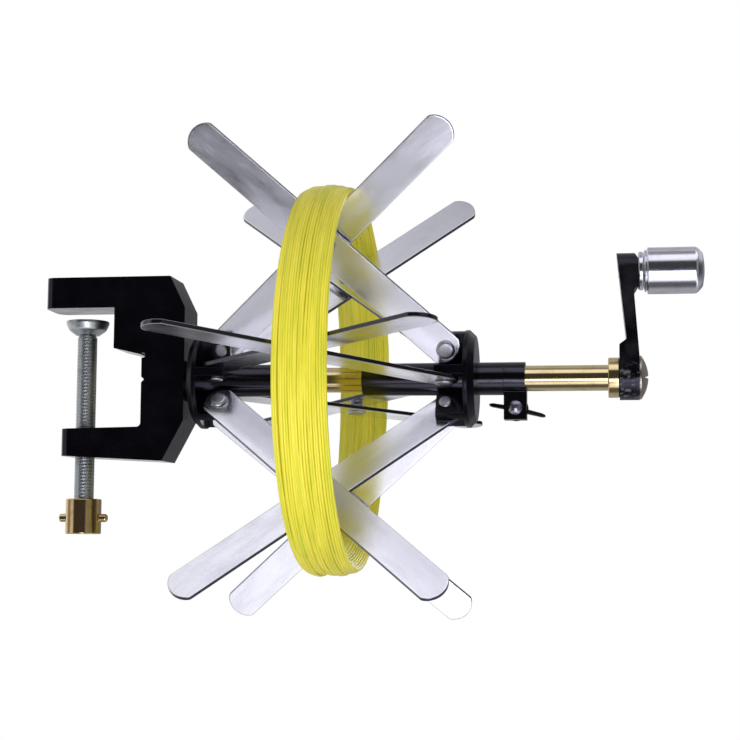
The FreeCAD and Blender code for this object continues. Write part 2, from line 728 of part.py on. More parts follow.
def crank_outline():
    """The crank seen along the spindle: two round ends joined by their tangents."""
    slope = math.asin((crank_hub_radius - crank_end_radius) / crank_throw)
    spread = math.cos(slope)
    lift = math.sin(slope)
    web = [
        Vec(0, crank_hub_radius * spread, crank_hub_radius * lift),
        Vec(0, crank_end_radius * spread, crank_throw + crank_end_radius * lift),
        Vec(0, -crank_end_radius * spread, crank_throw + crank_end_radius * lift),
        Vec(0, -crank_hub_radius * spread, crank_hub_radius * lift),
    ]
    depth = 3 * crank_hub_depth
    solid = Part.Face(Part.makePolygon(web + web[:1])).extrude(Vec(depth, 0, 0))
    solid = solid.fuse(Part.makeCylinder(crank_hub_radius, depth, Vec(0, 0, 0), X_AXIS))
    solid = solid.fuse(Part.makeCylinder(crank_end_radius, depth, Vec(0, 0, crank_throw), X_AXIS))
    solid.translate(Vec(crank_x - crank_hub_depth, 0, -axle_drop))
    return solid


def crank_arm():
    """Cranked bar: deep hub on the spindle, leaning bar, boss for the handle pin."""
    top = crank_throw + crank_end_radius
    boss_low = crank_throw - crank_boss_radius
    side = [
        (crank_x, -crank_hub_radius),
        (crank_face_x, -crank_hub_radius),
        (crank_face_x, crank_front_foot),
        (crank_face_x - crank_front_lean, boss_low - 2 * crank_bevel),
        (crank_face_x, boss_low),
        (crank_face_x, top - 2 * crank_bevel),
        (crank_face_x - crank_bevel, top),
        (crank_x + crank_back_inset - crank_back_lean, top),
        (crank_x + crank_back_inset, crank_back_foot),
        (crank_x, crank_back_foot - crank_step_fall),
    ]
    corners = [Vec(x, -crank_hub_radius, z - axle_drop) for x, z in side]
    slab = Part.Face(Part.makePolygon(corners + corners[:1])).extrude(Vec(0, 2 * crank_hub_radius, 0))
    arm = slab.common(crank_outline())
    tenon_hole = axial_cylinder(crank_tenon_diameter / 2 + joint_fit, crank_x, crank_tenon_length)
    screw_hole = axial_cylinder(crank_screw_diameter / 2 + joint_fit, crank_x, crank_hub_depth)
    pin_hole = axial_cylinder(
        handle_pin_diameter / 2 + joint_fit, crank_x - crank_hub_depth, 3 * crank_hub_depth,
        0, handle_z)
    for tool in (tenon_hole, screw_hole, pin_hole):
        arm = arm.cut(tool)
    return arm.removeSplitter()


def crank_screw():
    """Large slotted screw that holds the crank on the spindle."""
    head = cap_solid(
        crank_head_diameter / 2, crank_head_height, Vec(crank_face_x, 0, -axle_drop), X_AXIS, 0.8)
    shank = axial_cylinder(
        crank_screw_diameter / 2, crank_face_x - crank_screw_length, crank_screw_length)
    slot_start = crank_face_x + crank_head_height - crank_slot_depth
    slot = Part.makeBox(
        crank_slot_depth + 1, crank_head_diameter, crank_slot_width,
        Vec(slot_start, -crank_head_diameter / 2, -axle_drop - crank_slot_width / 2))
    return head.fuse(shank).removeSplitter().cut(slot)


# ---------------------------------------------------------------- handle
def handle_x():
    """Inner end of the handle knob."""
    return crank_face_x + handle_washer_thickness + side_gap


def handle_pin():
    """Pin riveted through the crank; the knob turns on it."""
    length = handle_x() + handle_pin_length - crank_x
    return axial_cylinder(handle_pin_diameter / 2, crank_x, length, 0, handle_z)


def handle_washer():
    """Bright washer between crank and knob."""
    disc = axial_cylinder(
        handle_washer_diameter / 2, crank_face_x, handle_washer_thickness, 0, handle_z)
    rims = [edge for edge in disc.Edges if len(edge.Vertexes) == 1]
    disc = disc.makeChamfer(0.5, rims)
    bore = handle_pin_diameter / 2 + joint_fit
    return disc.cut(axial_cylinder(bore, crank_face_x, handle_washer_thickness, 0, handle_z))


def handle_knob():
    """Turned knob with a groove near the crank and a domed end."""
    start = handle_x()
    radius = handle_diameter / 2
    first = knob_end_diameter / 2
    dome_start = start + handle_length - handle_dome
    ball = (radius ** 2 + handle_dome ** 2) / (2 * handle_dome)
    half_angle = math.asin(radius / ball) / 2
    centre_x = start + handle_length - ball
    outline = [
        Vec(start, 0, 0),
        Vec(start, 0, first),
        Vec(start + 1.1, 0, first + handle_groove),
        Vec(start + 1.4, 0, first),
        Vec(start + 1.8, 0, first),
        Vec(start + 2.7, 0, radius),
        Vec(dome_start, 0, radius),
    ]
    edges = [Part.makeLine(a, b) for a, b in zip(outline, outline[1:])]
    middle = Vec(centre_x + ball * math.cos(half_angle), 0, ball * math.sin(half_angle))
    peak = Vec(start + handle_length, 0, 0)
    edges.append(Part.Arc(outline[-1], middle, peak).toShape())
    edges.append(Part.makeLine(peak, outline[0]))
    knob = Part.Face(Part.Wire(edges)).revolve(Vec(0, 0, 0), X_AXIS, 360)
    knob.translate(Vec(0, 0, handle_z))
    bore = handle_pin_diameter / 2 + running_fit
    return knob.cut(axial_cylinder(bore, start, handle_pin_length + side_gap, 0, handle_z))


# ---------------------------------------------------------------- wound line
def line_coil():
    """Outer shape of the wound line: a ring that lies in the V between the arms."""
    v_floor = crossing_radius + arm_width / 2 / math.cos(rise)
    clear = side_gap / math.cos(rise)
    floor = v_floor + clear + line_floor_half * math.tan(rise)
    half = line_width / 2
    shoulder = v_floor + clear + half * math.tan(rise)
    top = floor + line_depth
    crown = top - 1.2
    points = [
        (crossing_x - line_floor_half, floor),
        (crossing_x + line_floor_half, floor),
        (crossing_x + half, shoulder),
        (crossing_x + half, shoulder + 1.0),
        (crossing_x + 0.6 * half, crown),
        (crossing_x, top),
        (crossing_x - 0.6 * half, crown),
        (crossing_x - half, shoulder + 1.0),
        (crossing_x - half, shoulder),
    ]
    return revolved(points)


# ---------------------------------------------------------------- assembly
def all_parts():
    """Every node of the winder, by name."""
    parts = {
        "clamp_frame": clamp_frame(),
        "spindle_bush": spindle_bush(),
        "thrust_washer": thrust_washer(),
        "clamp_pad": clamp_pad(),
        "clamp_screw": clamp_screw(),
        "clamp_knob": clamp_knob(),
        "knob_cross_pin": knob_cross_pin(),
        "spindle": spindle(),
        "retaining_washer": retaining_washer(),
        "retaining_screw": retaining_screw(),
        "left_hub": hub(left_hub_x, True),
        "left_hub_pins": hub_pins(True),
        "left_tube": left_tube(),
        "tube_set_screw": tube_set_screw(),
        "right_hub": hub(right_hub_x, False),
        "right_hub_pins": hub_pins(False),
        "slider_tube": slider_tube(),
        "lock_collar": lock_collar(),
        "collar_bolt": collar_bolt(),
        "wing_nut": wing_nut(),
        "end_flange": end_flange(),
        "crank_arm": crank_arm(),
        "crank_screw": crank_screw(),
        "handle_pin": handle_pin(),
        "handle_washer": handle_washer(),
        "handle_knob": handle_knob(),
        "line_coil": line_coil(),
    }
    for index in range(arm_pairs):
        parts[f"left_arm_{index + 1}"] = left_arm(index)
        parts[f"right_arm_{index + 1}"] = right_arm(index)
        parts[f"crossing_rivet_{index + 1}"] = crossing_rivet(index)
    return parts


os.makedirs("parts", exist_ok=True)
for name, shape in all_parts().items():
    shape.exportStep(f"parts/{name}.step")
    print(f"{name:20s} solids {len(shape.Solids)} volume {shape.Volume:10.1f} valid {shape.isValid()}")
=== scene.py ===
"""Looks of a table-clamped fishing line winder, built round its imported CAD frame.

The winder is a reel of crossed flat arms on a brass spindle, carried by a C-clamp. Sizes
are in millimetres in the classes and are turned into metres where a mesh is made. The row
frame has +X along the spindle towards the crank and +Z up.
"""

from __future__ import annotations

import json
import logging
import math
from dataclasses import dataclass
from enum import Enum
from functools import cached_property
from typing import Union

import bmesh
import bpy
import numpy as np
from mathutils import Matrix, Vector

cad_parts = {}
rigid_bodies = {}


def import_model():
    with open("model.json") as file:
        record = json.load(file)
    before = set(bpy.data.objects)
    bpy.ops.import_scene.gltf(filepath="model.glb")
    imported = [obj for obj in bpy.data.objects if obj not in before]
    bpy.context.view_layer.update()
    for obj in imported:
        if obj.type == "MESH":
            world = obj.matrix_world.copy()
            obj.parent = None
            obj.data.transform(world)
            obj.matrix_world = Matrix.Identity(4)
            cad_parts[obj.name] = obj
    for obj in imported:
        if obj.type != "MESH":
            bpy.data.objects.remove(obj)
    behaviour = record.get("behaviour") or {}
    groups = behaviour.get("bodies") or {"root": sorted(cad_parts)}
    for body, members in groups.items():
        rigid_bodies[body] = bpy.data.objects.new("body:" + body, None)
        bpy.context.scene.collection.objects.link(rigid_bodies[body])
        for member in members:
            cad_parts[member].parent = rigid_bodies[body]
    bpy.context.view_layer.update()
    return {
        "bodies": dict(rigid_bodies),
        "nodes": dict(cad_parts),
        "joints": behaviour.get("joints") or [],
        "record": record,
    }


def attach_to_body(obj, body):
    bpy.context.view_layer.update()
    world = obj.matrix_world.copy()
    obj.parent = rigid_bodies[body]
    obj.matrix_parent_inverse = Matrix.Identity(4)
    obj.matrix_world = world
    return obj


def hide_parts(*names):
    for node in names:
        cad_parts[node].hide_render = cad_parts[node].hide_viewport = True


log = logging.getLogger("line_winder")

Pair = tuple[float, float]
Triple = tuple[float, float, float]
Faces = list[tuple[int, ...]]
Mesh = tuple[np.ndarray, Faces]
Material = bpy.types.Material
Object = bpy.types.Object
Socket = bpy.types.NodeSocket
Value = Union[Socket, float, tuple[float, ...]]

MM = 0.001
TAU = 2.0 * math.pi
AXLE_Z = -35.0


class Axis(Enum):
    """Row axis that a turned piece is made about."""

    X = 0
    Y = 1
    Z = 2


# ------------------------------------------------------------------ shader helpers
class Nodes:
    """A node tree with short calls for the nodes that the finishes and the world share."""

    def __init__(self, owner: Material | bpy.types.World) -> None:
        """Empties a tree and gives it an output.

        Args:
            owner: the material or world that has the tree.
        """
        owner.use_nodes = True
        self.owner = owner
        self.tree = owner.node_tree
        self.tree.nodes.clear()
        sky = isinstance(owner, bpy.types.World)
        self.output = self.add("OutputWorld" if sky else "OutputMaterial")

    def add(self, kind: str, inputs: dict[str | int, Value] | None = None,
            **values: object) -> bpy.types.Node:
        """Adds a node, sets its properties and feeds its inputs.

        Args:
            kind: the node's type name without "ShaderNode".
            inputs: a socket to join, or a plain value, by the input's name or number.
            **values: properties of the node.

        Returns:
            The node.
        """
        node = self.tree.nodes.new("ShaderNode" + kind)
        for key, value in values.items():
            setattr(node, key, value)
        for key, value in (inputs or {}).items():
            if isinstance(value, Socket):
                self.tree.links.new(value, node.inputs[key])
            else:
                node.inputs[key].default_value = value
        return node

    def surface(self, shader: Socket) -> None:
        """Joins a shader to the output."""
        self.tree.links.new(shader, self.output.inputs["Surface"])

    def coordinates(self, scale: Triple = (1.0, 1.0, 1.0), uv: bool = False) -> Socket:
        """Scaled Object coordinates, or the piece's own UV map."""
        source = self.add("TexCoord").outputs["UV" if uv else "Object"]
        return self.add("Mapping", {"Vector": source, "Scale": scale}).outputs["Vector"]

    def noise(self, cells: float, octaves: float = 3.0, fine: float = 0.55,
              scale: Triple = (1.0, 1.0, 1.0), uv: bool = False) -> Socket:
        """Noise values around one half on scaled coordinates.

        Args:
            cells: cells per metre.
            octaves: number of octaves.
            fine: strength of the finer octaves.
            scale: factor along each axis.
            uv: True for the UV map.

        Returns:
            The value socket.
        """
        place = self.coordinates(scale, uv)
        return self.add("TexNoise", {"Vector": place, "Scale": cells, "Detail": octaves,
                                     "Roughness": fine}).outputs["Fac"]

    def ramp(self, value: Socket, stops: list[tuple[float, Triple]]) -> Socket:
        """Colours along a value.

        Args:
            value: the factor.
            stops: (position, linear colour) pairs in order.

        Returns:
            The colour socket.
        """
        node = self.add("ValToRGB", {"Fac": value})
        elements = node.color_ramp.elements
        while len(elements) < len(stops):
            elements.new(0.5)
        for element, (place, colour) in zip(elements, stops):
            element.position = place
            element.color = (*colour, 1.0)
        return node.outputs["Color"]

    def span(self, value: Socket, low: float, high: float, start: float = 0.3,
             end: float = 0.7, curve: str = "LINEAR") -> Socket:
        """Maps a value from start..end to low..high, clamped."""
        ends = {"From Min": start, "From Max": end, "To Min": low, "To Max": high}
        return self.add("MapRange", {"Value": value, **ends}, interpolation_type=curve).outputs[0]

    def math(self, operation: str, *values: Value) -> Socket:
        """Result of a Math node."""
        return self.add("Math", dict(enumerate(values)), operation=operation).outputs["Value"]

    def mix(self, first: Value, second: Value, share: Value = 1.0, kind: str = "MIX") -> Socket:
        """A share of the second colour laid over the first in one of the Mix node's ways."""
        inputs = {"Factor": share, "A": first, "B": second}
        return self.add("Mix", inputs, data_type="RGBA", blend_type=kind).outputs["Result"]

    def bump(self, height: Socket, strength: float, distance: float) -> Socket:
        """Normal bumped by a height from 0 to 1 of a distance in metres."""
        inputs = {"Height": height, "Strength": strength, "Distance": distance}
        return self.add("Bump", inputs).outputs["Normal"]

    def principled(self, **values: Value) -> Material:
        """Adds the surface shader, joined to the output.

        Args:
            **values: socket names with spaces as underscores, and what goes into them.

        Returns:
            The material.
        """
        inputs = {key.replace("_", " "): value for key, value in values.items()}
        self.surface(self.add("BsdfPrincipled", inputs).outputs["BSDF"])
        return self.owner


@dataclass(frozen=True)
class PolishedStrip:
    """Polished aluminium strip with cloudy handling marks, fine lines along its length and a
    painted shade on its rims.
    """

    name: str = "polished_strip"
    bright: Triple = (0.90, 0.90, 0.94)
    dull: Triple = (0.79, 0.79, 0.84)
    # Near black painted on the rims as shade.
    painted_rim_shade: Triple = (0.09, 0.09, 0.11)
    smooth: float = 0.11
    rough: float = 0.20
    grain_share: float = 0.4
    line_share: float = 0.12

    def material(self) -> Material:
        """Builds the finish on a UV map in metres, U along the strip.

        Returns:
            The material.
        """
        n = Nodes(bpy.data.materials.new(self.name))
        clouds = n.noise(cells=110.0, octaves=4.0, fine=0.6, scale=(0.3, 1.0, 1.0), uv=True)
        lines = n.noise(cells=2600.0, octaves=2.0, scale=(0.06, 1.0, 1.0), uv=True)
        grain = n.noise(cells=900.0, octaves=3.0, fine=0.6, uv=True)
        marks = n.math("MULTIPLY_ADD", grain, self.grain_share, clouds)
        tint = n.ramp(marks, [(0.50, self.dull), (0.76, self.bright)])
        # Painted shade: the rims' colour is mixed towards near black.
        rim = n.add("Attribute", attribute_name="rim").outputs["Fac"]
        cloudy = n.span(clouds, self.rough, self.smooth, start=0.35, end=0.65)
        return n.principled(Metallic=1.0, Base_Color=n.mix(tint, (*self.painted_rim_shade, 1.0), rim),
                            Roughness=n.math("MULTIPLY_ADD", lines, self.line_share, cloudy),
                            Normal=n.bump(lines, strength=0.06, distance=0.00004))


@dataclass(frozen=True)
class TurnedMetal:
    """Turned bright metal with faint rings, stains and a little wear."""

    name: str
    colour: Triple
    stain: Triple
    smooth: float = 0.12
    rough: float = 0.26
    ring_axis: Axis = Axis.X

    def material(self) -> Material:
        """Builds the finish on Object coordinates.

        Returns:
            The material.
        """
        n = Nodes(bpy.data.materials.new(self.name))
        stretch = tuple(1.0 if axis is self.ring_axis else 0.02 for axis in Axis)
        rings = n.noise(cells=5200.0, octaves=2.0, scale=stretch)
        clouds = n.noise(cells=160.0, octaves=4.0, fine=0.6)
        return n.principled(Metallic=1.0,
                            Base_Color=n.ramp(clouds, [(0.3, self.stain), (0.5, self.colour)]),
                            Roughness=n.span(clouds, self.rough, self.smooth),
                            Normal=n.bump(rings, strength=0.10, distance=0.00003))


@dataclass(frozen=True)
class BlackEnamel:
    """Black enamel or anodising with a fine grain, a bluish sheen and worn patches."""

    name: str
    colour: Triple = (0.0006, 0.0006, 0.0012)
    worn: Triple = (0.0018, 0.0018, 0.003)
    sheen: Triple = (0.80, 0.77, 1.0)
    grain: float = 900.0
    depth: float = 0.00007
    smooth: float = 0.15
    rough: float = 0.26
    gloss: float = 0.42
    scuff: Triple = (0.12, 0.12, 0.13)
    scuff_centre: Triple = (0.0, 0.0, 0.0)
    scuff_radius: float = 0.0

    def material(self) -> Material:
        """Builds the finish on Object coordinates.

        Returns:
            The material.
        """
        n = Nodes(bpy.data.materials.new(self.name))
        clouds = n.noise(cells=70.0, octaves=5.0, fine=0.6)
        peel = n.noise(cells=self.grain, octaves=2.0)
        tint = n.ramp(clouds, [(0.4, self.colour), (0.72, self.worn)])
        if self.scuff_radius > 0.0:
            tint = self.scuffed(n, tint)
        return n.principled(Specular_IOR_Level=self.gloss, Specular_Tint=(*self.sheen, 1.0),
                            Base_Color=tint, Roughness=n.span(clouds, self.smooth, self.rough),
                            Normal=n.bump(peel, strength=0.5, distance=self.depth))

    def scuffed(self, n: Nodes, tint: Socket) -> Socket:
        """Lays grey scuff marks over the colour near one place and none further away.

        Args:
            n: the material's nodes.
            tint: the colour below.

        Returns:
            The colour socket.
        """
        marks = n.noise(cells=330.0, octaves=4.0, fine=0.65, scale=(1.0, 1.0, 1.6))
        centre, reach = tuple(v * MM for v in self.scuff_centre), self.scuff_radius * MM
        away = n.add("VectorMath", {0: n.coordinates(), 1: centre}, operation="DISTANCE")
        near = n.span(away.outputs["Value"], 1.0, 0.0, start=0.4 * reach, end=reach)
        share = n.math("MULTIPLY", n.span(marks, 0.0, 1.0, start=0.52, end=0.64), near)
        return n.mix(tint, (*self.scuff, 1.0), share)


@dataclass(frozen=True)
class CoatedLine:
    """Fluorescent yellow coating of the line, a little uneven along its length, with a painted
    glow that lifts its shade.
    """

    name: str = "coated_line"
    bright: Triple = (0.69, 0.632, 0.045)
    deep: Triple = (0.59, 0.575, 0.04)
    pale: Triple = (0.76, 0.685, 0.07)
    # Painted light: strength of an emission in the line's own colours that brightens its shade.
    glow: float = 0.15

    def material(self) -> Material:
        """Builds the finish on Object coordinates.

        Returns:
            The material.
        """
        n = Nodes(bpy.data.materials.new(self.name))
        shade = n.noise(cells=430.0, octaves=3.0, fine=0.6, scale=(1.0, 0.07, 0.07))
        grain = n.noise(cells=2500.0, octaves=1.0)
        tint = n.ramp(shade, [(0.36, self.deep), (0.50, self.bright), (0.66, self.pale)])
        # The emission is painted light that fills the shade between the turns.
        return n.principled(Base_Color=tint, Roughness=0.40, Coat_Weight=0.12,
                            Coat_Roughness=0.3, Emission_Color=tint,
                            Emission_Strength=self.glow,
                            Normal=n.bump(grain, strength=0.15, distance=0.00003))


class Finishes:
    """Every material of the winder, made once."""

    def __init__(self) -> None:
        """Builds the materials."""
        zinc = ((0.50, 0.53, 0.53), (0.38, 0.41, 0.41))
        self.strip = PolishedStrip().material()
        self.brass = TurnedMetal("turned_brass", (0.76, 0.62, 0.34), (0.62, 0.46, 0.22),
                                 smooth=0.08, rough=0.16).material()
        self.brass_upright = TurnedMetal("turned_brass_upright", (0.70, 0.50, 0.25),
                                         (0.52, 0.34, 0.15), smooth=0.08, rough=0.16,
                                         ring_axis=Axis.Z).material()
        self.bronze = TurnedMetal("bearing_bronze", (0.50, 0.34, 0.17),
                                  (0.36, 0.24, 0.12)).material()
        self.zinc = TurnedMetal("zinc_plated", *zinc, smooth=0.30, rough=0.40,
                                ring_axis=Axis.Z).material()
        self.rod = TurnedMetal("zinc_thread", *zinc, smooth=0.38, rough=0.46,
                               ring_axis=Axis.Z).material()
        self.rivet = TurnedMetal("bright_rivet", (0.56, 0.56, 0.60), (0.44, 0.44, 0.48),
                                 smooth=0.34, rough=0.46).material()
        self.chrome = TurnedMetal("plated_chrome", (0.76, 0.76, 0.82), (0.64, 0.64, 0.71),
                                  smooth=0.14, rough=0.20).material()
        self.plated_screw = TurnedMetal("stained_zinc", (0.50, 0.48, 0.42),
                                        (0.36, 0.26, 0.20), smooth=0.24, rough=0.36).material()
        self.tube = TurnedMetal("black_nickel", (0.050, 0.049, 0.060), (0.040, 0.039, 0.048),
                                smooth=0.14, rough=0.22).material()
        self.bolt = TurnedMetal("darkened_steel", (0.34, 0.33, 0.42), (0.22, 0.21, 0.28),
                                smooth=0.24, rough=0.34, ring_axis=Axis.Y).material()
        self.cast = BlackEnamel("cast_enamel", grain=750.0, depth=0.00012).material()
        self.satin = BlackEnamel("satin_black", colour=(0.002, 0.002, 0.003), grain=1600.0,
                                 depth=0.00003, smooth=0.14, rough=0.24, gloss=0.25).material()
        self.crank = BlackEnamel("crank_enamel", worn=(0.012, 0.012, 0.015), grain=500.0,
                                 depth=0.0002, smooth=0.2, rough=0.4,
                                 scuff_centre=(262.0, -9.0, -39.0), scuff_radius=12.0).material()
        self.line = CoatedLine().material()


# ------------------------------------------------------------------ mesh helpers
def rounded(corners: list[Triple], steps: int = 5) -> np.ndarray:
    """Rounds the corners of an open profile.

    Each corner with a radius is replaced by points on the arc that touches both its sides,
    smaller where that arc would use up more than about half of a side.

    Args:
        corners: (along, radius, rounding) in millimetres.
        steps: points on each arc.

    Returns:
        Array of (along, radius) points.
    """
    nearly_straight, most = 1.55, 0.49
    points = np.array([c[:2] for c in corners], float)
    out = [points[0]]
    for before, here, after, (_, _, r) in zip(points, points[1:], points[2:], corners[1:-1]):
        a, b = before - here, after - here
        la, lb = np.linalg.norm(a), np.linalg.norm(b)
        a, b = a / la, b / lb
        half = 0.5 * math.acos(float(np.clip(a @ b, -1.0, 1.0)))
        if r <= 0.0 or half > nearly_straight:
            out.append(here)
            continue
        reach = min(r / math.tan(half), most * la, most * lb)
        radius = reach * math.tan(half)
        middle = (a + b) / np.linalg.norm(a + b)
        centre = here + middle * (radius / math.sin(half))
        first, last = here + a * reach - centre, here + b * reach - centre
        turn = math.atan2(first[0] * last[1] - first[1] * last[0], first @ last)
        angles = np.linspace(0.0, turn, steps)
        cos, sin = np.cos(angles), np.sin(angles)
        arc = np.stack([first[0] * cos - first[1] * sin, first[0] * sin + first[1] * cos], 1)
        out.extend(centre + arc)
    out.append(points[-1])
    return np.array(out)


def ring_profile(span: Pair, bore: float, outer: float, edge: float,
                 inner_edge: float = 0.15) -> list[Triple]:
    """Corners of a ring with rounded rims, for rounded().

    Args:
        span: where it starts and ends along its axis.
        bore: inner radius.
        outer: outer radius.
        edge: rounding of the outer rims.
        inner_edge: rounding of the bore's rims.

    Returns:
        The corners, which begin and end in the middle of the bore.
    """
    a, b = span
    middle = (0.5 * (a + b), bore, 0)
    return [middle, (a, bore, inner_edge), (a, outer, edge), (b, outer, edge),
            (b, bore, inner_edge), middle]


def grid_faces(rings: int, sides: int, close: bool = False) -> Faces:
    """Quads between rings of points.

    Args:
        rings: number of rings.
        sides: points in a ring.
        close: join the last ring to the first.

    Returns:
        The faces.
    """
    i, j = np.divmod(np.arange((rings if close else rings - 1) * sides), sides)
    k, m = (i + 1) % rings, (j + 1) % sides
    quads = np.stack([i * sides + j, i * sides + m, k * sides + m, k * sides + j], 1)
    return [tuple(quad) for quad in quads.tolist()]


def turned(profile: np.ndarray, ring: bool, sides: int = 96) -> Mesh:
    """Surface of revolution about local Z.

    A point is (radius cos a, radius sin a, along), for each profile point and angle a.

    Args:
        profile: (n, 2) array of (along, radius).
        ring: True if the profile is a closed loop, as a washer's is.
        sides: number of angles.

    Returns:
        Points in millimetres and faces.
    """
    angle = np.arange(sides) * TAU / sides
    x = profile[:, 1:] * np.cos(angle)
    y = profile[:, 1:] * np.sin(angle)
    points = np.stack([x, y, np.repeat(profile[:, :1], sides, 1)], 2).reshape(-1, 3)
    return points, grid_faces(len(profile), sides, ring)


def joined(meshes: list[Mesh]) -> Mesh:
    """Several meshes as one.

    Args:
        meshes: points and faces of each.

    Returns:
        Points and faces of all.
    """
    points, faces = np.empty((0, 3)), []
    for some_points, some_faces in meshes:
        faces += [tuple(len(points) + i for i in face) for face in some_faces]
        points = np.concatenate([points, some_points])
    return points, faces


def placed(points: np.ndarray, axis: Axis, origin: Triple) -> np.ndarray:
    """Turns local Z to a row axis and moves local zero to a place in millimetres."""
    order = {Axis.X: (2, 0, 1), Axis.Y: (1, 2, 0), Axis.Z: (0, 1, 2)}[axis]
    return points[:, order] + np.array(origin)


def framed(points: np.ndarray, origin: np.ndarray, *axes: np.ndarray) -> np.ndarray:
    """Points given in a local frame of three axes, in the row frame."""
    return points @ np.stack(axes) + origin


def show(thing: Object) -> None:
    """Puts an object into the scene."""
    bpy.context.scene.collection.objects.link(thing)


def shade_smooth(thing: Object) -> None:
    """Smooth shading, with normals that lean to the larger faces."""
    thing.data.polygons.foreach_set("use_smooth", np.ones(len(thing.data.polygons), bool))
    thing.modifiers.new("weighted", "WEIGHTED_NORMAL").keep_sharp = True


def attach(piece: Object, body: str, node: str) -> None:
    """Lets a piece ride on a body and stand for a CAD node.

    Args:
        piece: the object.
        body: name of the body.
        node: the CAD node that it replaces.
    """
    show(piece)
    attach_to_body(piece, body)
    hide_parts(node)
    log.info("%s rides on %s", piece.name, body)


def add_piece(node: str, body: str, surface: Mesh, material: Material,
              uv: np.ndarray | None = None, rim: np.ndarray | None = None) -> None:
    """Makes a smooth-shaded piece that stands for a CAD node.

    Doubles are merged and the normals turned outwards.

    Args:
        node: the CAD node.
        body: name of the body.
        surface: n points in millimetres in the row frame, and faces.
        material: its finish.
        uv: optional (n, 2) array of texture places in metres.
        rim: optional array of n numbers, 1 on a rim where shade is painted and 0 on a face.
    """
    points, faces = surface
    mesh = bpy.data.meshes.new(node + "_look")
    mesh.from_pydata((points * MM).tolist(), [], faces)
    if uv is not None:
        corners = np.zeros(len(mesh.loops), np.int32)
        mesh.loops.foreach_get("vertex_index", corners)
        layer = mesh.uv_layers.new(name="strip")
        layer.data.foreach_set("uv", uv[corners].astype(np.float32).ravel())
    if rim is not None:
        share = mesh.attributes.new("rim", "FLOAT", "POINT")
        share.data.foreach_set("value", rim.astype(np.float32))
    bm = bmesh.new()
    bm.from_mesh(mesh)
    bmesh.ops.remove_doubles(bm, verts=bm.verts, dist=1e-7)
    bmesh.ops.recalc_face_normals(bm, faces=bm.faces)
    bm.to_mesh(mesh)
    bm.free()
    mesh.materials.append(material)
    made = bpy.data.objects.new(mesh.name, mesh)
    shade_smooth(made)
    attach(made, body, node)


@dataclass
class Piece:
    """A turned piece of the winder that stands for one CAD node."""

    node: str
    body: str
    slot: str
    corners: list[Triple]
    axis: Axis
    origin: Triple
    ring: bool = False
    sides: int = 96

    def build(self, material: Material) -> None:
        """Makes the piece and lets it ride on its body.

        Args:
            material: its finish.
        """
        profile = rounded(self.corners)[:-1 if self.ring else None]
        points, faces = turned(profile, self.ring, self.sides)
        surface = (placed(points, self.axis, self.origin), faces)
        add_piece(self.node, self.body, surface, material)


def dress_node(node: Object, material: Material, edge: float) -> None:
    """Gives a CAD node its finish and softly rounded edges.

    Args:
        node: the CAD node's object.
        material: its finish.
        edge: width of the edge rounding in millimetres, or 0 for none.
    """
    node.data.materials.clear()
    node.data.materials.append(material)
    node.modifiers.new("weld", "WELD").merge_threshold = 1e-6
    if edge > 0.0:
        bevel = node.modifiers.new("edges", "BEVEL")
        bevel.width = edge * MM
        bevel.segments = 3
        bevel.limit_method = "ANGLE"
        bevel.angle_limit = math.radians(35)
        bevel.harden_normals = False
    shade_smooth(node)
    log.info("%s keeps its CAD shape", node.name)


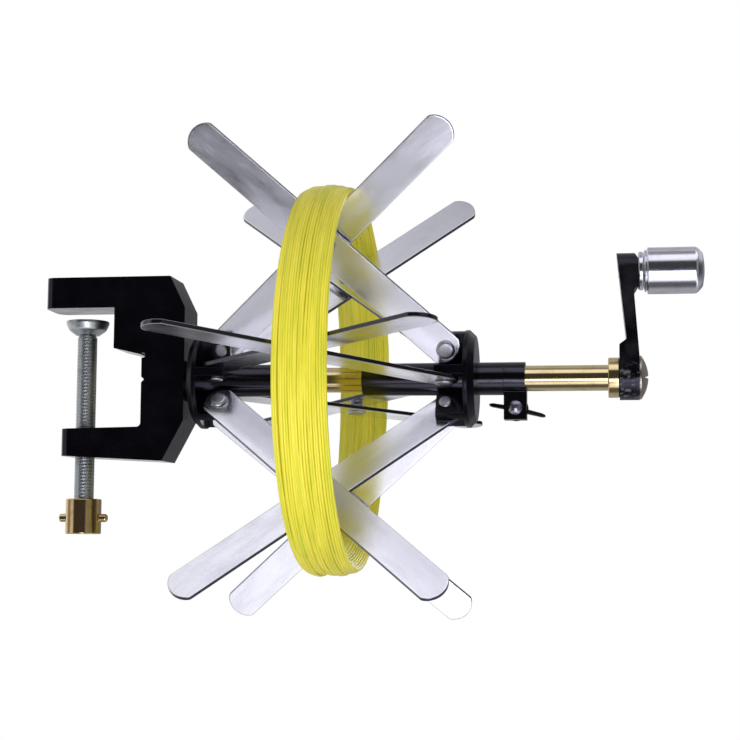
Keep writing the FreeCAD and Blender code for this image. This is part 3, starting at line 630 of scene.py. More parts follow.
# ------------------------------------------------------------------ sub-assemblies
@dataclass
class ClampScrew:
    """Threaded rod, swivelling pad, brass knob and its cross pin."""

    radius: float = 4.75
    pitch: float = 1.5875
    thread_depth: float = 0.08
    top: float = -12.3
    bottom: float = -107.8
    end_length: float = 1.2
    end_fall: float = 0.7
    tip_radius: float = 2.5
    tip_length: float = 4.1
    tip_bevel: Pair = (0.2, 0.3)
    pad_top: float = -5.2
    pad_height: float = 6.8
    pad_radius: float = 10.4
    pad_rim: float = 1.2
    pad_waist: float = 9.0
    waist_drop: float = 4.4
    neck_radius: float = 5.7
    socket_radius: float = 2.56
    socket_depth: float = 4.3
    knob_base: float = -108.8
    knob_top: float = -91.8
    knob_radius: float = 8.6
    knob_bore: float = 4.78
    pin_z: float = -101.0
    pin_radius: float = 2.0
    pin_half: float = 12.0
    pin_rounding: float = 0.98

    def rod(self, material: Material) -> None:
        """Threaded rod with its plain tip.

        The radius at height z and angle a is the outer radius less the thread's depth times a
        wave of z over the pitch less a over a full turn. The wave is a triangle with its crest
        and root cut off, and the radius falls at both ends.

        Args:
            material: its finish.
        """
        sides, per_pitch, steep, cut = 48, 10, 1.3, 0.15
        rings = int((self.top - self.bottom) / self.pitch * per_pitch)
        z = np.linspace(self.bottom, self.top, rings)[:, None]
        a = (np.arange(sides) * TAU / sides)[None, :]
        phase = np.mod(z / self.pitch - a / TAU, 1.0)
        wave = np.clip(np.abs(2.0 * phase - 1.0) * steep - cut, 0.0, 1.0)
        end = np.clip(np.minimum(z - self.bottom, self.top - z) / self.end_length, 0.0, 1.0)
        r = self.radius - self.thread_depth * wave - self.end_fall * (1.0 - end)
        reach, thin = self.top + self.tip_length, self.tip_radius
        down, inwards = self.tip_bevel
        tip = np.array([(self.top, thin), (reach - down, thin), (reach, thin - inwards),
                        (reach, 0.0)])
        z = np.concatenate([z, tip[:, :1]])
        r = np.concatenate([r, np.repeat(tip[:, 1:], sides, 1)])
        points = np.stack([r * np.cos(a), r * np.sin(a), np.broadcast_to(z, r.shape)], 2)
        faces = grid_faces(len(r), sides) + [tuple(range(sides - 1, -1, -1))]
        surface = (points.reshape(-1, 3), faces)
        add_piece("clamp_screw", "screw", surface, material)

    def build(self, finish: Finishes) -> None:
        """Makes the rod, pad, knob and pin.

        Args:
            finish: the materials.
        """
        self.rod(finish.rod)
        r, high, low = self.pad_radius, self.pad_top, self.pad_top - self.pad_height
        bore, end = self.socket_radius, low + self.socket_depth
        pad = [(high, 0, 0), (high, r, 0.3), (high - self.pad_rim, r, 0.8),
               (high - self.waist_drop, self.pad_waist, 3.5), (low, self.neck_radius, 0.4),
               (low, bore, 0.1), (end, bore, 0.1), (end, 0, 0)]
        Piece("clamp_pad", "pad", "zinc_steel", pad, Axis.Z, (0, 0, 0)).build(finish.zinc)
        r, bore, low, high = self.knob_radius, self.knob_bore, self.knob_base, self.knob_top
        knob = [(low, 0, 0), (low, r, 0.7), (high, r, 0.7), (high, bore, 0.3),
                (self.bottom, bore, 0.1), (self.bottom, 0, 0)]
        Piece("clamp_knob", "screw", "brass", knob, Axis.Z, (0, 0, 0)).build(finish.brass_upright)
        h, r, edge = self.pin_half, self.pin_radius, self.pin_rounding * self.pin_radius
        pin = [(-h, 0, 0), (-h, r, edge), (h, r, edge), (h, 0, 0)]
        place = (0, 0, self.pin_z)
        Piece("knob_cross_pin", "screw", "brass", pin, Axis.X, place).build(finish.brass)


@dataclass
class SpindleParts:
    """Turned pieces along the spindle: the shaft, the two tubes and the end flange."""

    shaft: Pair = (55.3, 257.406)
    shaft_radius: float = 6.0
    journal_start: float = 36.7
    journal_radius: float = 5.0
    tenon_radius: float = 4.5
    tenon_length: float = 6.0
    tube_radius: float = 7.75
    fixed_tube: Pair = (55.3, 109.5)
    slider_tube: Pair = (136.906, 203.806)
    flange: Pair = (252.106, 257.406)
    flange_radius: float = 9.35
    fixed_bore: float = 6.02
    sliding_bore: float = 6.05

    def build(self, finish: Finishes) -> None:
        """Makes the pieces.

        Args:
            finish: the materials.
        """
        (a, b), r, start = self.shaft, self.shaft_radius, self.journal_start
        journal, tenon, end = self.journal_radius, self.tenon_radius, b + self.tenon_length
        shaft = [(start, 0, 0), (start, journal, 0.3), (a, journal, 0.1), (a, r, 0.2),
                 (b, r, 0.2), (b, tenon, 0.1), (end, tenon, 0.3), (end, 0, 0)]
        left = ring_profile(self.fixed_tube, self.fixed_bore, self.tube_radius, 0.2)
        slider = ring_profile(self.slider_tube, self.sliding_bore, self.tube_radius, 0.2)
        flange = ring_profile(self.flange, self.fixed_bore, self.flange_radius, 0.6)
        for node, body, slot, profile, material, ring in (
                ("spindle", "rotor", "brass", shaft, finish.brass, False),
                ("left_tube", "rotor", "tube_black", left, finish.tube, True),
                ("slider_tube", "slider", "tube_black", slider, finish.tube, True),
                ("end_flange", "rotor", "brass", flange, finish.brass, True)):
            Piece(node, body, slot, profile, Axis.X, (0, 0, AXLE_Z), ring).build(material)


@dataclass
class HandleParts:
    """Turned knob of the crank and the washer behind it.

    Collar, groove and barrel start at a distance from the knob's foot; barrel's end, dome and
    crown lie at a distance from its top. A radius comes last.
    """

    axis_z: float = 15.0
    washer: Pair = (266.506, 268.906)
    washer_radius: float = 9.0
    washer_bore: float = 3.02
    knob_start: float = 269.206
    knob_length: float = 27.7
    foot_radius: float = 9.5
    collar: Pair = (0.5, 10.0)
    groove: Triple = (0.8, 1.0, 9.7)
    barrel: Triple = (1.6, 3.6, 10.9)
    dome: Pair = (0.8, 7.9)
    crown: Pair = (0.1, 3.2)
    knob_bore: float = 3.05
    bore_depth: float = 21.3

    def build(self, finish: Finishes) -> None:
        """Makes the pieces.

        Args:
            finish: the materials.
        """
        s, e = self.knob_start, self.knob_start + self.knob_length
        bore, depth = self.knob_bore, s + self.bore_depth
        collar, collar_radius = self.collar
        groove, groove_end, groove_radius = self.groove
        barrel, barrel_end, r = self.barrel
        dome, dome_radius = self.dome
        crown, crown_radius = self.crown
        knob = [(depth, 0, 0), (depth, bore, 0.1), (s, bore, 0.2), (s, self.foot_radius, 0.3),
                (s + collar, collar_radius, 0.2), (s + groove, groove_radius, 0.1),
                (s + groove_end, groove_radius, 0.1), (s + barrel, r, 0.5),
                (e - barrel_end, r, 2.6), (e - dome, dome_radius, 2.6),
                (e - crown, crown_radius, 2.5), (e, 0, 0)]
        place = (0, 0, self.axis_z)
        Piece("handle_knob", "handle_knob", "chrome", knob, Axis.X, place,
              sides=128).build(finish.chrome)
        washer = ring_profile(self.washer, self.washer_bore, self.washer_radius, 0.7, 0.1)
        Piece("handle_washer", "rotor", "chrome", washer, Axis.X, place, True).build(finish.chrome)


@dataclass
class ArmCage:
    """Twelve flat arms in six crossed pairs, with their rivets."""

    pairs: int = 6
    turn: float = 24.0
    rise: float = 43.2
    pivot_radius: float = 16.0
    left_pivot: float = 69.1
    reach: float = 155.0
    overhang: float = 5.8
    width: float = 16.0
    thickness: float = 2.0
    gap: float = 0.4
    side_gap: float = 0.3
    bulge: float = 4.6
    corner: float = 2.6
    edge: float = 0.35
    crossing: float = 74.15
    lug: float = 4.4
    lean: float = math.radians(1.1)
    pivot_heads: tuple[Pair, Pair] = ((4.4, 1.3), (3.15, 1.0))
    pivot_shank: Triple = (2.0, 2.0, 0.0)
    crossing_head: Pair = (4.9, 1.2)
    crossing_shank: Pair = (1.5, 3.2)

    @property
    def right_pivot(self) -> float:
        """Where along the spindle the right arms have their pivots."""
        return self.left_pivot + 2 * self.crossing * math.cos(math.radians(self.rise))

    @property
    def side(self) -> float:
        """Distance of an arm's middle plane from its lug's, at the pivot."""
        return self.lug / 2 + self.gap + self.thickness / 2

    @property
    def crossing_side(self) -> float:
        """The same distance at the crossing, where the arms lean together."""
        return self.side - self.crossing * math.tan(self.lean)

    @cached_property
    def outline(self) -> np.ndarray:
        """Closed outline of an arm: straight sides and bowed ends with softened corners.

        Each end is an arc through both shoulders and the apex; the four corners are rounded
        by arcs that touch the side and the end.

        Returns:
            (n, 2) array of (along, across), anticlockwise.
        """
        half = self.width / 2
        ball = (half ** 2 + self.bulge ** 2) / (2 * self.bulge)
        inner = ball - self.corner
        centre_y = half - self.corner
        meet = math.asin(centre_y / inner)
        tip = self.reach - ball
        a = np.linspace(-meet, meet, 25)
        end = np.stack([tip + ball * np.cos(a), ball * np.sin(a)], 1)
        corner_x = tip + inner * math.cos(meet)
        b = np.linspace(meet, math.pi / 2, 9)[1:]
        top = np.stack([corner_x + self.corner * np.cos(b),
                        centre_y + self.corner * np.sin(b)], 1)
        right = np.concatenate([top[::-1] * [1, -1], end, top])
        shift = self.reach - self.overhang
        left = right * [-1, 1]
        left[:, 0] += shift
        sides = np.linspace(right[-1, 0], left[-1, 0], 24)[1:-1]
        upper = np.stack([sides, np.full(len(sides), half)], 1)
        return np.concatenate([right, upper, left[::-1], upper[::-1] * [1, -1]])

    def direction(self, index: int) -> tuple[np.ndarray, np.ndarray]:
        """Outward and tangent unit vectors of a pair.

        Args:
            index: number of the pair.

        Returns:
            Outward and tangent vectors.
        """
        a = math.radians(self.turn + index * 360 / self.pairs)
        outward = np.array([0.0, -math.sin(a), math.cos(a)])
        return outward, np.cross([1.0, 0.0, 0.0], outward)

    def pivot_frame(self, index: int, left: bool, tilt: float = 0.0,
                    side: float = 0.0) -> tuple[np.ndarray, ...]:
        """Origin and axes at a pivot: along, across and through.

        Args:
            index: number of the pair.
            left: True for the left hub.
            tilt: angle to the spindle in radians.
            side: distance from the radial plane.

        Returns:
            Origin, x, y and z.
        """
        outward, tangent = self.direction(index)
        sign = 1.0 if left else -1.0
        x = np.array([sign * math.cos(tilt), 0, 0]) + outward * math.sin(tilt)
        z = tangent * sign
        pivot = self.left_pivot if left else self.right_pivot
        origin = np.array([pivot, 0, AXLE_Z]) + outward * self.pivot_radius + tangent * side
        return origin, x, np.cross(z, x), z

    def arm_frame(self, index: int, left: bool) -> tuple[np.ndarray, ...]:
        """The pivot's frame raised to the arm, beside its lug and leaning towards its partner.

        Args:
            index: number of the pair.
            left: True for the arm on the left hub.

        Returns:
            Origin, x, y and z.
        """
        side = -self.side if left else self.side
        origin, x, y, z = self.pivot_frame(index, left, math.radians(self.rise), side)
        cos, sin = math.cos(self.lean), math.sin(self.lean)
        return origin, x * cos + z * sin, y, z * cos - x * sin

    def blade(self, index: int, left: bool, material: Material) -> None:
        """One arm: its outline swept round a rounded rim, closed by two flat faces.

        Row k of the grid is the outline moved inwards by the rim's inset at k, at the rim's
        height at k. The texture starts at a place of its own on each arm.

        Args:
            index: number of the pair.
            left: True for the arm on the left hub.
            material: its finish.
        """
        line = self.outline
        ahead, behind = np.roll(line, -1, 0), np.roll(line, 1, 0)
        along = ahead - behind
        along /= np.linalg.norm(along, axis=1)[:, None]
        inward = np.stack([-along[:, 1], along[:, 0]], 1)
        r, h = self.edge, self.thickness / 2
        face_inset, rim_share, per_pair, right_side = 2.2, 0.5, (0.37, 0.11), (1.9, 0.0)
        bend = np.linspace(0, math.pi / 2, 5)
        inner, curve, level = [face_inset * r], r - r * np.sin(bend), h - r + r * np.cos(bend)
        inset = np.concatenate([inner, curve, curve[::-1], inner])
        height = np.concatenate([[h], level, -level[::-1], [-h]])
        flat = line[None] + inward[None] * inset[:, None, None]
        points = np.concatenate([flat, np.repeat(height[:, None, None], len(line), 1)], 2)
        rows, columns = points.shape[:2]
        points = points.reshape(-1, 3)
        faces = grid_faces(rows, columns)
        faces.append(tuple(range(columns)))
        faces.append(tuple(range((rows - 1) * columns, rows * columns))[::-1])
        own_marks = index * np.array(per_pair) + ((0.0, 0.0) if left else right_side)
        # 1 on the rounded rim, where the strip's finish paints shade, and 0 on the faces.
        rim = np.repeat(np.clip((h - np.abs(height)) / (rim_share * r), 0.0, 1.0), columns)
        name = f"{'left' if left else 'right'}_arm_{index + 1}"
        surface = (framed(points, *self.arm_frame(index, left)), faces)
        add_piece(name, name, surface, material,
                  points[:, :2] * MM + own_marks, rim)

    def rivet(self, centre: float, spans: Pair, heads: tuple[Pair, Pair], shank: Triple,
              frame: tuple[np.ndarray, ...]) -> Mesh:
        """A rivet with a low head at each end and a shoulder on its shank.

        The profile is a flat-topped dome, a short straight edge, the shank and the other head;
        the dome's height falls by the eighth power of the radius.

        Args:
            centre: its place along the arm.
            spans: heights where the shank starts and ends.
            heads: (radius, height) of the lower and upper head.
            shank: its radius, its shoulder's radius and the height where the shoulder ends.
            frame: origin and axes.

        Returns:
            Points in the row frame and faces.
        """
        (r0, h0), (r1, h1) = heads
        low, high = spans
        core, shoulder, shoulder_end = shank
        edge, rise, chamfer, step, flatness = 0.3, 0.08, 0.12, self.thickness / 2, 8
        a = np.sin(np.linspace(0, math.pi / 2, 12))
        dome = 1 - a ** flatness
        first = np.stack([low - edge - (h0 - edge) * dome, r0 * a], 1)
        last = np.stack([high + edge + (h1 - edge) * dome, r1 * a], 1)[::-1]
        middle = [(low - rise, r0), (low, r0 - chamfer), (low, core)]
        if shoulder > core:
            middle += [(step, core), (step, shoulder), (shoulder_end, shoulder),
                       (shoulder_end, core)]
        middle += [(high, core), (high, r1 - chamfer), (high + rise, r1)]
        points, faces = turned(np.concatenate([first, middle, last]), False, 40)
        return framed(points + np.array([centre, 0.0, 0.0]), *frame), faces

    def pins(self, left: bool, material: Material) -> None:
        """The six pivot rivets of one hub as one piece.

        Args:
            left: True for the left hub.
            material: its finish.
        """
        spans = (-self.side - self.thickness / 2 - self.side_gap, self.lug / 2)
        rivets = [self.rivet(0.0, spans, self.pivot_heads, self.pivot_shank,
                             self.pivot_frame(index, left)) for index in range(self.pairs)]
        node, body = ("left_hub_pins", "rotor") if left else ("right_hub_pins", "slider")
        add_piece(node, body, joined(rivets), material)

    def build(self, finish: Finishes) -> None:
        """Makes all arms and rivets.

        Args:
            finish: the materials.
        """
        half, apart = self.thickness / 2, 2 * self.crossing_side
        spans = (-half, apart + half + self.side_gap)
        shank = (*self.crossing_shank, apart - half - self.side_gap)
        for index in range(self.pairs):
            self.blade(index, True, finish.strip)
            self.blade(index, False, finish.strip)
            rivet = self.rivet(self.crossing / math.cos(self.lean), spans,
                               (self.crossing_head, self.crossing_head), shank,
                               self.arm_frame(index, True))
            add_piece(f"crossing_rivet_{index + 1}", f"left_arm_{index + 1}",
                      rivet, finish.rivet)
        self.pins(True, finish.rivet)
        self.pins(False, finish.rivet)


@dataclass
class WoundLine:
    """The coil of line that lies in the V of the crossed arms."""

    centre_x: float = 123.153
    diameter: float = 1.15
    floor: float = 80.55
    floor_half: float = 2.6
    shoulder: float = 89.4
    half: float = 12.0
    crown: float = 92.6
    layers: tuple[Pair, ...] = ((2.6, 2.2), (1.62, 1.3), (0.60, 1.10))
    inner_inset: float = 1.0
    outer_freedom: float = 0.55
    waves: tuple[tuple[int, int, float, float], ...] = (
        (9, 1, 1.0, 0.9), (7, 2, 0.8, 0.9), (6, 4, 0.4, 0.6), (1, 2, 0.12, 0.16),
        (1, 5, 0.06, 0.12))
    least_wave: float = 0.3
    out_of_step: float = 1.7
    slack: float = 3.0
    slack_angle: float = math.radians(283.0)
    slack_spread: float = 0.3
    arm_clearance: float = 0.6
    crown_clearance: float = 1.0
    points_per_turn: int = 24
    seed: int = 7

    def shell(self, inset: float, spacing: float) -> np.ndarray:
        """Places of the turns of one layer that follows the section of the coil.

        The section is a closed outline: the floor, the two sides that lie on the arms and a
        bowed crown. The layer runs along the outline moved inwards.

        Args:
            inset: distance of the layer from the outline.
            spacing: distance between two turns.

        Returns:
            (n, 2) array of (sideways, radius).
        """
        shoulder_fall, flatness = 0.25, 0.5
        slope = math.atan2(self.shoulder - self.floor, self.half - self.floor_half)
        low = self.floor + inset
        foot = self.floor_half - inset * math.tan(0.5 * slope)
        wide = self.half - inset
        high = self.shoulder - inset * shoulder_fall
        bow = np.linspace(0.0, math.pi, 25)
        rise = (self.crown - inset - high) * np.sin(bow) ** flatness
        crown = np.stack([wide * np.cos(bow), high + rise], 1)
        outline = np.concatenate([[[-foot, low], [foot, low]], crown, [[-foot, low]]])
        steps = np.linalg.norm(np.diff(outline, axis=0), axis=1)
        way = np.concatenate([[0.0], np.cumsum(steps)])
        count = max(3, int(round(way[-1] / spacing)))
        places = np.linspace(0.0, way[-1], count, endpoint=False)
        return np.stack([np.interp(places, way, outline[:, k]) for k in (0, 1)], 1)

    def route(self) -> np.ndarray:
        """Control points of the line in millimetres.

        Turn by turn the line moves to the next place of its layer, from the innermost layer to
        the outermost. Groups of turns wander together by a few slow waves, and each turn by
        small ones of its own, less so in the outer layer. At the slack angle the turns at the
        crank's end hang outwards by a bell-shaped bulge. The radius is stretched at last,
        because the smooth curve runs inside its control points.

        Returns:
            (n, 3) array.
        """
        rng = np.random.default_rng(self.seed)
        layers = [self.shell(inset, spacing) for inset, spacing in self.layers]
        centres = np.concatenate(layers)
        loose = np.concatenate([
            np.full(len(layer), 1.0 if inset > self.inner_inset else self.outer_freedom)
            for layer, (inset, _) in zip(layers, self.layers)])
        turns = len(centres)
        per = self.points_per_turn
        t = np.arange((turns - 1) * per + 1) / per
        x = np.interp(t, np.arange(turns), centres[:, 0])
        r = np.interp(t, np.arange(turns), centres[:, 1])
        free = np.interp(t, np.arange(turns), loose)
        turn_of = np.minimum(t.astype(int), turns - 1)
        angle = t * TAU
        for group, waves, size_x, size_r in self.waves:
            number = turn_of // group
            part = np.clip(t - (number + 1) * group + 1, 0.0, 1.0)
            phase = rng.uniform(0, TAU, turns // group + 2)
            size = rng.uniform(self.least_wave, 1.0, turns // group + 2)
            p = phase[number] * (1 - part) + phase[number + 1] * part
            s = (size[number] * (1 - part) + size[number + 1] * part) * free
            x = x + size_x * s * np.sin(waves * angle + p)
            r = r + size_r * s * np.cos(waves * angle + self.out_of_step * p)
        low = np.interp(np.abs(x), [0, self.floor_half, self.half],
                        [self.floor, self.floor, self.shoulder])
        r = np.clip(r, low + self.arm_clearance, self.crown + self.crown_clearance)
        x = np.clip(x, -self.half, self.half)
        away = np.angle(np.exp(1j * (angle - self.slack_angle)))
        edge = np.clip(x / self.half, 0.0, 1.0) ** 2
        x = x + self.slack * edge * np.exp(-0.5 * (away / self.slack_spread) ** 2)
        r = r / (0.75 + 0.25 * math.cos(TAU / per))
        return np.stack([self.centre_x + x, -r * np.sin(angle), AXLE_Z + r * np.cos(angle)], 1)

    def build(self, material: Material) -> None:
        """Args:
            material: its finish.
        """
        route = self.route() * MM
        curve = bpy.data.curves.new("wound_line", "CURVE")
        curve.dimensions = "3D"
        spline = curve.splines.new("NURBS")
        spline.points.add(len(route) - 1)
        spline.points.foreach_set("co", np.c_[route, np.ones(len(route))].ravel())
        spline.order_u = 3
        spline.use_endpoint_u = True
        spline.resolution_u = 2
        curve.bevel_depth = self.diameter / 2 * MM
        curve.bevel_resolution = 2
        curve.use_fill_caps = True
        curve.materials.append(material)
        made = bpy.data.objects.new("wound_line", curve)
        attach(made, "rotor", "line_coil")


@dataclass
class WingNut:
    """Wing nut on the collar's bolt; waist and top are shares of its height and radius."""

    centre: Triple = (209.106, 4.6, -48.9)
    hub_radius: float = 5.9
    hub_height: float = 6.4
    bore: float = 2.05
    span: float = 13.9
    root: float = 2.0
    root_height: float = 3.3
    rise: float = 6.4
    half_width: float = 2.7
    root_half: float = 1.25
    tip_half: float = 0.95
    turn: float = 12.0
    waist: Pair = (0.55, 0.93)
    top: float = 0.72

    def wing(self, sign: float) -> Mesh:
        """One wing as a rounded bar carried along a line that leaves the hub and flares.

        Section s, from 0 in the hub to 1 at the tip, is an oval that gets thinner and closes
        over the last fifth. Its centre runs outwards along X, and along Y by a power of s.

        Args:
            sign: 1 for the right wing and -1 for the left.

        Returns:
            Local points and faces, with the bolt along local Y.
        """
        sections, sides, flare, square, tip = 25, 28, 1.2, 0.75, 0.2
        s = np.linspace(0.0, 1.0, sections)[:, None]
        a = (np.arange(sides) * TAU / sides)[None, :]
        cos, sin = np.cos(a), np.sin(a)
        close = np.sqrt(np.clip(1.0 - np.clip((s - (1.0 - tip)) / tip, 0, 1) ** 2, 0, 1))
        centre = self.root_height + self.rise * s ** flare
        thick = (self.root_half + (self.tip_half - self.root_half) * s) * close
        y = centre + self.half_width * close * np.sign(cos) * np.abs(cos) ** square
        z = thick * np.sign(sin) * np.abs(sin) ** square
        x = np.broadcast_to(sign * (self.root + (self.span - self.root) * s), y.shape)
        points = np.stack([x, y, z], 2).reshape(-1, 3)
        return points, grid_faces(sections, sides) + [tuple(range(sides))]

    def build(self, material: Material) -> None:
        """Makes hub and wings.

        Args:
            material: its finish.
        """
        h, r, bore = self.hub_height, self.hub_radius, self.bore
        up, thin = self.waist
        hub = rounded([(h / 2, bore, 0), (0, bore, 0.2), (0, r, 0.4), (h * up, r * thin, 0.6),
                       (h, r * self.top, 0.6), (h, bore, 0.2), (h / 2, bore, 0)])[:-1]
        points, faces = turned(hub, True, 48)
        hub = (placed(points, Axis.Y, (0, 0, 0)), faces)
        points, faces = joined([hub, self.wing(1.0), self.wing(-1.0)])
        t = math.radians(self.turn)
        axes = np.array([[math.cos(t), 0, -math.sin(t)], [0, 1, 0], [math.sin(t), 0, math.cos(t)]])
        surface = (framed(points, np.array(self.centre), *axes), faces)
        add_piece("wing_nut", "wing_nut", surface, material)


# ------------------------------------------------------------------ studio
class SkyNodes(Nodes):
    """The world's nodes, with greys picked by the direction that a ray goes."""

    def __init__(self, owner: bpy.types.World) -> None:
        """Adds the parts of the direction.

        Args:
            owner: the world.
        """
        super().__init__(owner)
        ray = self.add("TexCoord").outputs["Generated"]
        self.direction = self.add("SeparateXYZ", {0: ray}).outputs

    def shades(self, along: str, stops: list[Pair]) -> Socket:
        """Slightly bluish greys along one part of the direction.

        Args:
            along: X, Y or Z.
            stops: (place from -1 to 1, grey) pairs in order.

        Returns:
            The colour socket.
        """
        share = self.span(self.direction[along], 0.0, 1.0, -1.0, 1.0)
        return self.ramp(share, [(0.5 * (place + 1.0), (grey, grey, grey * 1.04))
                                 for place, grey in stops])

    def pane(self, x: tuple[float, ...], z: tuple[float, ...]) -> Socket:
        """White in one box of directions and black around it.

        Args:
            x: where the box starts to show, is whole, starts to fade and is gone along X,
                or only the first two if it has no end.
            z: the same along Z.

        Returns:
            The colour socket.
        """
        bands = []
        for along, places in (("X", x), ("Z", z)):
            greys = (0.0, 1.0, 1.0, 0.0)[:len(places)]
            bands.append(self.shades(along, [(-1.0, 0.0), *zip(places, greys), (1.0, greys[-1])]))
        return self.mix(*bands, kind="MULTIPLY")


@dataclass
class Studio:
    """Camera, lamps, world and floor."""

    azimuth: float = 8.5
    elevation: float = -6.0
    roll: float = -0.34
    distance: float = 762.0
    target: Triple = (140.0, 0.0, -30.29)
    sensor: float = 36.0
    focal_share: float = 1600.0 / 740.0
    lamp_target: Triple = (0.13, 0.0, -0.03)
    floor_place: Triple = (0.13, 0.0, -0.30)
    floor_radius: float = 0.52
    floor_fade: Pair = (0.25, 0.50)
    box_light: Triple = (3.6, 3.6, 3.8)

    def camera(self) -> None:
        """Places the camera."""
        a, e, roll = (math.radians(v) for v in (self.azimuth, self.elevation, self.roll))
        turn = (Matrix.Rotation(a, 4, "Z") @ Matrix.Rotation(math.pi / 2 - e, 4, "X")
                @ Matrix.Rotation(-roll, 4, "Z"))
        place = (Vector(self.target) + turn.col[2].xyz * self.distance) * MM
        data = bpy.data.cameras.new("camera")
        data.lens = self.focal_share * self.sensor
        data.sensor_width = self.sensor
        data.clip_start = 0.01
        data.clip_end = 20.0
        made = bpy.data.objects.new("camera", data)
        made.matrix_world = Matrix.Translation(place) @ turn
        show(made)
        bpy.context.scene.camera = made

    def lamp(self, name: str, place: Triple, size: Pair, power: float) -> None:
        """A soft rectangular lamp that looks at the winder and that gloss doesn't mirror.

        Args:
            name: its name.
            place: where it stands, in metres.
            size: width and height in metres.
            power: watts.
        """
        data = bpy.data.lights.new(name, "AREA")
        data.shape = "RECTANGLE"
        data.size, data.size_y = size
        data.energy = power
        made = bpy.data.objects.new(name, data)
        towards = Vector(self.lamp_target) - Vector(place)
        turned_to = towards.to_track_quat("-Z", "Y").to_matrix().to_4x4()
        made.visible_glossy = False
        made.matrix_world = Matrix.Translation(place) @ turned_to
        show(made)

    def near_side(self, n: SkyNodes) -> Socket:
        """What gloss mirrors on the camera's side.

        It is the lighter of a shade picked by height, dimmed towards the clamp, and one
        picked by how far the direction points sideways, plus two strong boxes low on the
        right that join into one.

        Args:
            n: the world's nodes.

        Returns:
            The colour socket.
        """
        height = n.shades("Z", [(-1.0, 0.12), (-0.92, 0.14), (-0.86, 1.25), (-0.71, 1.25),
                                (-0.61, 0.50), (-0.55, 0.12), (-0.46, 0.04), (0.10, 0.03),
                                (0.60, 0.04), (0.70, 1.0), (0.80, 1.2), (0.955, 1.2),
                                (0.975, 0.38), (1.0, 0.28)])
        dimmed = n.shades("X", [(-1.0, 0.60), (-0.24, 0.66), (-0.17, 1.0), (1.0, 1.0)])
        sideways = n.shades("X", [(-1.0, 0.30), (-0.97, 0.35), (-0.94, 0.80), (-0.80, 0.80),
                                  (-0.72, 0.05), (0.46, 0.05), (0.58, 0.30), (0.90, 0.25),
                                  (0.96, 0.05), (1.0, 0.05)])
        soft = n.mix(n.mix(height, dimmed, kind="MULTIPLY"), sideways, kind="LIGHTEN")
        boxes = n.mix(n.pane((-0.13, -0.09, 0.30, 0.36), (-0.52, -0.46, -0.28, -0.17)),
                      n.pane((0.0, 0.07, 0.30, 0.36), (-0.80, -0.70, -0.50, -0.44)),
                      kind="LIGHTEN")
        return n.mix(soft, n.mix(boxes, (*self.box_light, 1.0), kind="MULTIPLY"), kind="ADD")

    def far_side(self, n: SkyNodes) -> Socket:
        """What gloss mirrors beyond the object: palest level with it, and dark in two panes.

        Args:
            n: the world's nodes.

        Returns:
            The colour socket.
        """
        pale = n.shades("Z", [(-1.0, 0.42), (-0.46, 0.42), (-0.36, 0.75), (-0.08, 0.95),
                              (0.30, 0.95), (0.60, 0.50), (1.0, 0.42)])
        right = n.pane((-0.12, -0.05), (-0.42, -0.32, 0.36, 0.46))
        left = n.pane((-0.50, -0.34, -0.24, -0.16), (-0.60, -0.48, -0.28, -0.20))
        return n.mix(n.mix(pale, (0.22, 0.22, 0.24, 1.0), right), (0.10, 0.10, 0.10, 1.0), left)

    def world(self) -> None:
        """White for the camera, soft boxes for gloss, and a pale dome for the rest."""
        world = bpy.data.worlds.new("studio")
        bpy.context.scene.world = world
        n = SkyNodes(world)
        beyond = n.span(n.direction["Y"], 0.0, 1.0, 0.0, 0.45, "SMOOTHSTEP")
        gloss = n.mix(self.near_side(n), self.far_side(n), beyond)
        dome = n.shades("Z", [(-1.0, 0.62), (1.0, 0.30)])
        path = n.add("LightPath").outputs
        seen = n.math("MAXIMUM", path["Is Camera Ray"], path["Is Transmission Ray"])
        room = n.mix(dome, gloss, path["Is Glossy Ray"])
        shown = n.mix(room, (1.0, 1.0, 1.0, 1.0), seen)
        n.surface(n.add("Background", {"Color": shown}).outputs["Background"])

    def floor(self) -> None:
        """A pale round floor that fades into the white background."""
        n = Nodes(bpy.data.materials.new("pale_floor"))
        away = n.add("VectorMath", {0: n.coordinates()}, operation="LENGTH").outputs["Value"]
        fade = n.span(away, 0.0, 1.0, *self.floor_fade, "SMOOTHSTEP")
        pale = n.add("BsdfDiffuse", {"Color": (0.9, 0.9, 0.9, 1.0)}).outputs["BSDF"]
        glow = n.add("Emission", {"Color": (1.0, 1.0, 1.0, 1.0), "Strength": 0.14}).outputs[0]
        both = n.add("AddShader", {0: pale, 1: glow}).outputs["Shader"]
        clear = n.add("BsdfTransparent").outputs["BSDF"]
        n.surface(n.add("MixShader", {"Fac": fade, 1: both, 2: clear}).outputs["Shader"])
        sides = 64
        a = np.arange(sides) * TAU / sides
        ring = np.stack([np.cos(a), np.sin(a), np.zeros(sides)], 1) * self.floor_radius
        mesh = bpy.data.meshes.new("floor")
        mesh.from_pydata(ring.tolist(), [], [tuple(range(sides))])
        mesh.materials.append(n.owner)
        made = bpy.data.objects.new("floor", mesh)
        made.location = self.floor_place
        made.visible_glossy = False
        show(made)

    def build(self) -> None:
        """Sets up the whole studio."""
        bpy.context.scene.view_settings.view_transform = "Standard"
        self.camera()
        self.world()
        self.floor()
        self.lamp("low_front", (0.05, -0.80, -0.40), (0.7, 0.3), 4.9)
        self.lamp("side", (0.85, -0.55, 0.2), (0.4, 0.6), 1.5)
        self.lamp("top", (0.0, -0.1, 0.85), (0.9, 0.6), 1.1)


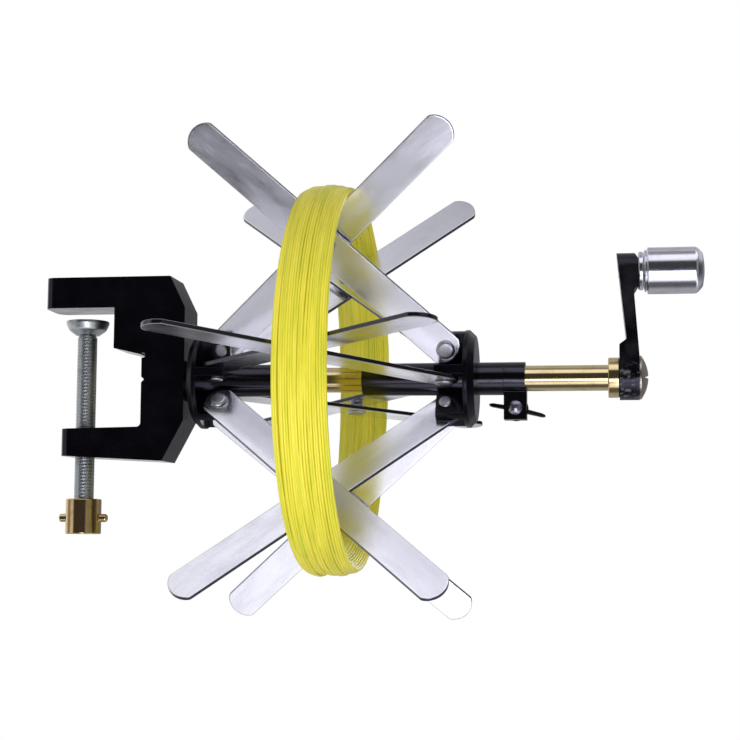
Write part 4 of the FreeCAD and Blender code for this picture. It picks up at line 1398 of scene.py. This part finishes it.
def dress_frame(frame: dict, finish: Finishes) -> None:
    """Gives every CAD node its finish.

    Args:
        finish: the materials.
    """
    nodes = frame["nodes"]
    table = {
        "clamp_frame": (finish.cast, 0.5), "spindle_bush": (finish.bronze, 0.0),
        "thrust_washer": (finish.satin, 0.2), "retaining_washer": (finish.zinc, 0.15),
        "retaining_screw": (finish.zinc, 0.0), "left_hub": (finish.satin, 0.3),
        "right_hub": (finish.satin, 0.3), "tube_set_screw": (finish.satin, 0.0),
        "lock_collar": (finish.tube, 0.12), "collar_bolt": (finish.bolt, 0.0),
        "crank_arm": (finish.crank, 0.4), "crank_screw": (finish.plated_screw, 0.15),
        "handle_pin": (finish.zinc, 0.0),
    }
    for name, (material, edge) in table.items():
        dress_node(nodes[name], material, edge)


def corners(bounds: tuple[Vector, Vector]) -> list[list[float]]:
    """A box as plain lists of numbers."""
    return [list(v) for v in bounds]


def main() -> None:
    """Builds the winder's looks in order and reports each piece."""
    logging.basicConfig(level=logging.INFO, format="%(message)s")
    for thing in list(bpy.data.objects):
        bpy.data.objects.remove(thing)
    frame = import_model()
    finish = Finishes()
    Studio().build()
    dress_frame(frame, finish)
    WoundLine().build(finish.line)
    ArmCage().build(finish)
    ClampScrew().build(finish)
    SpindleParts().build(finish)
    HandleParts().build(finish)
    WingNut().build(finish.satin)
    bpy.context.view_layer.update()


if __name__ == "__main__":
    main()
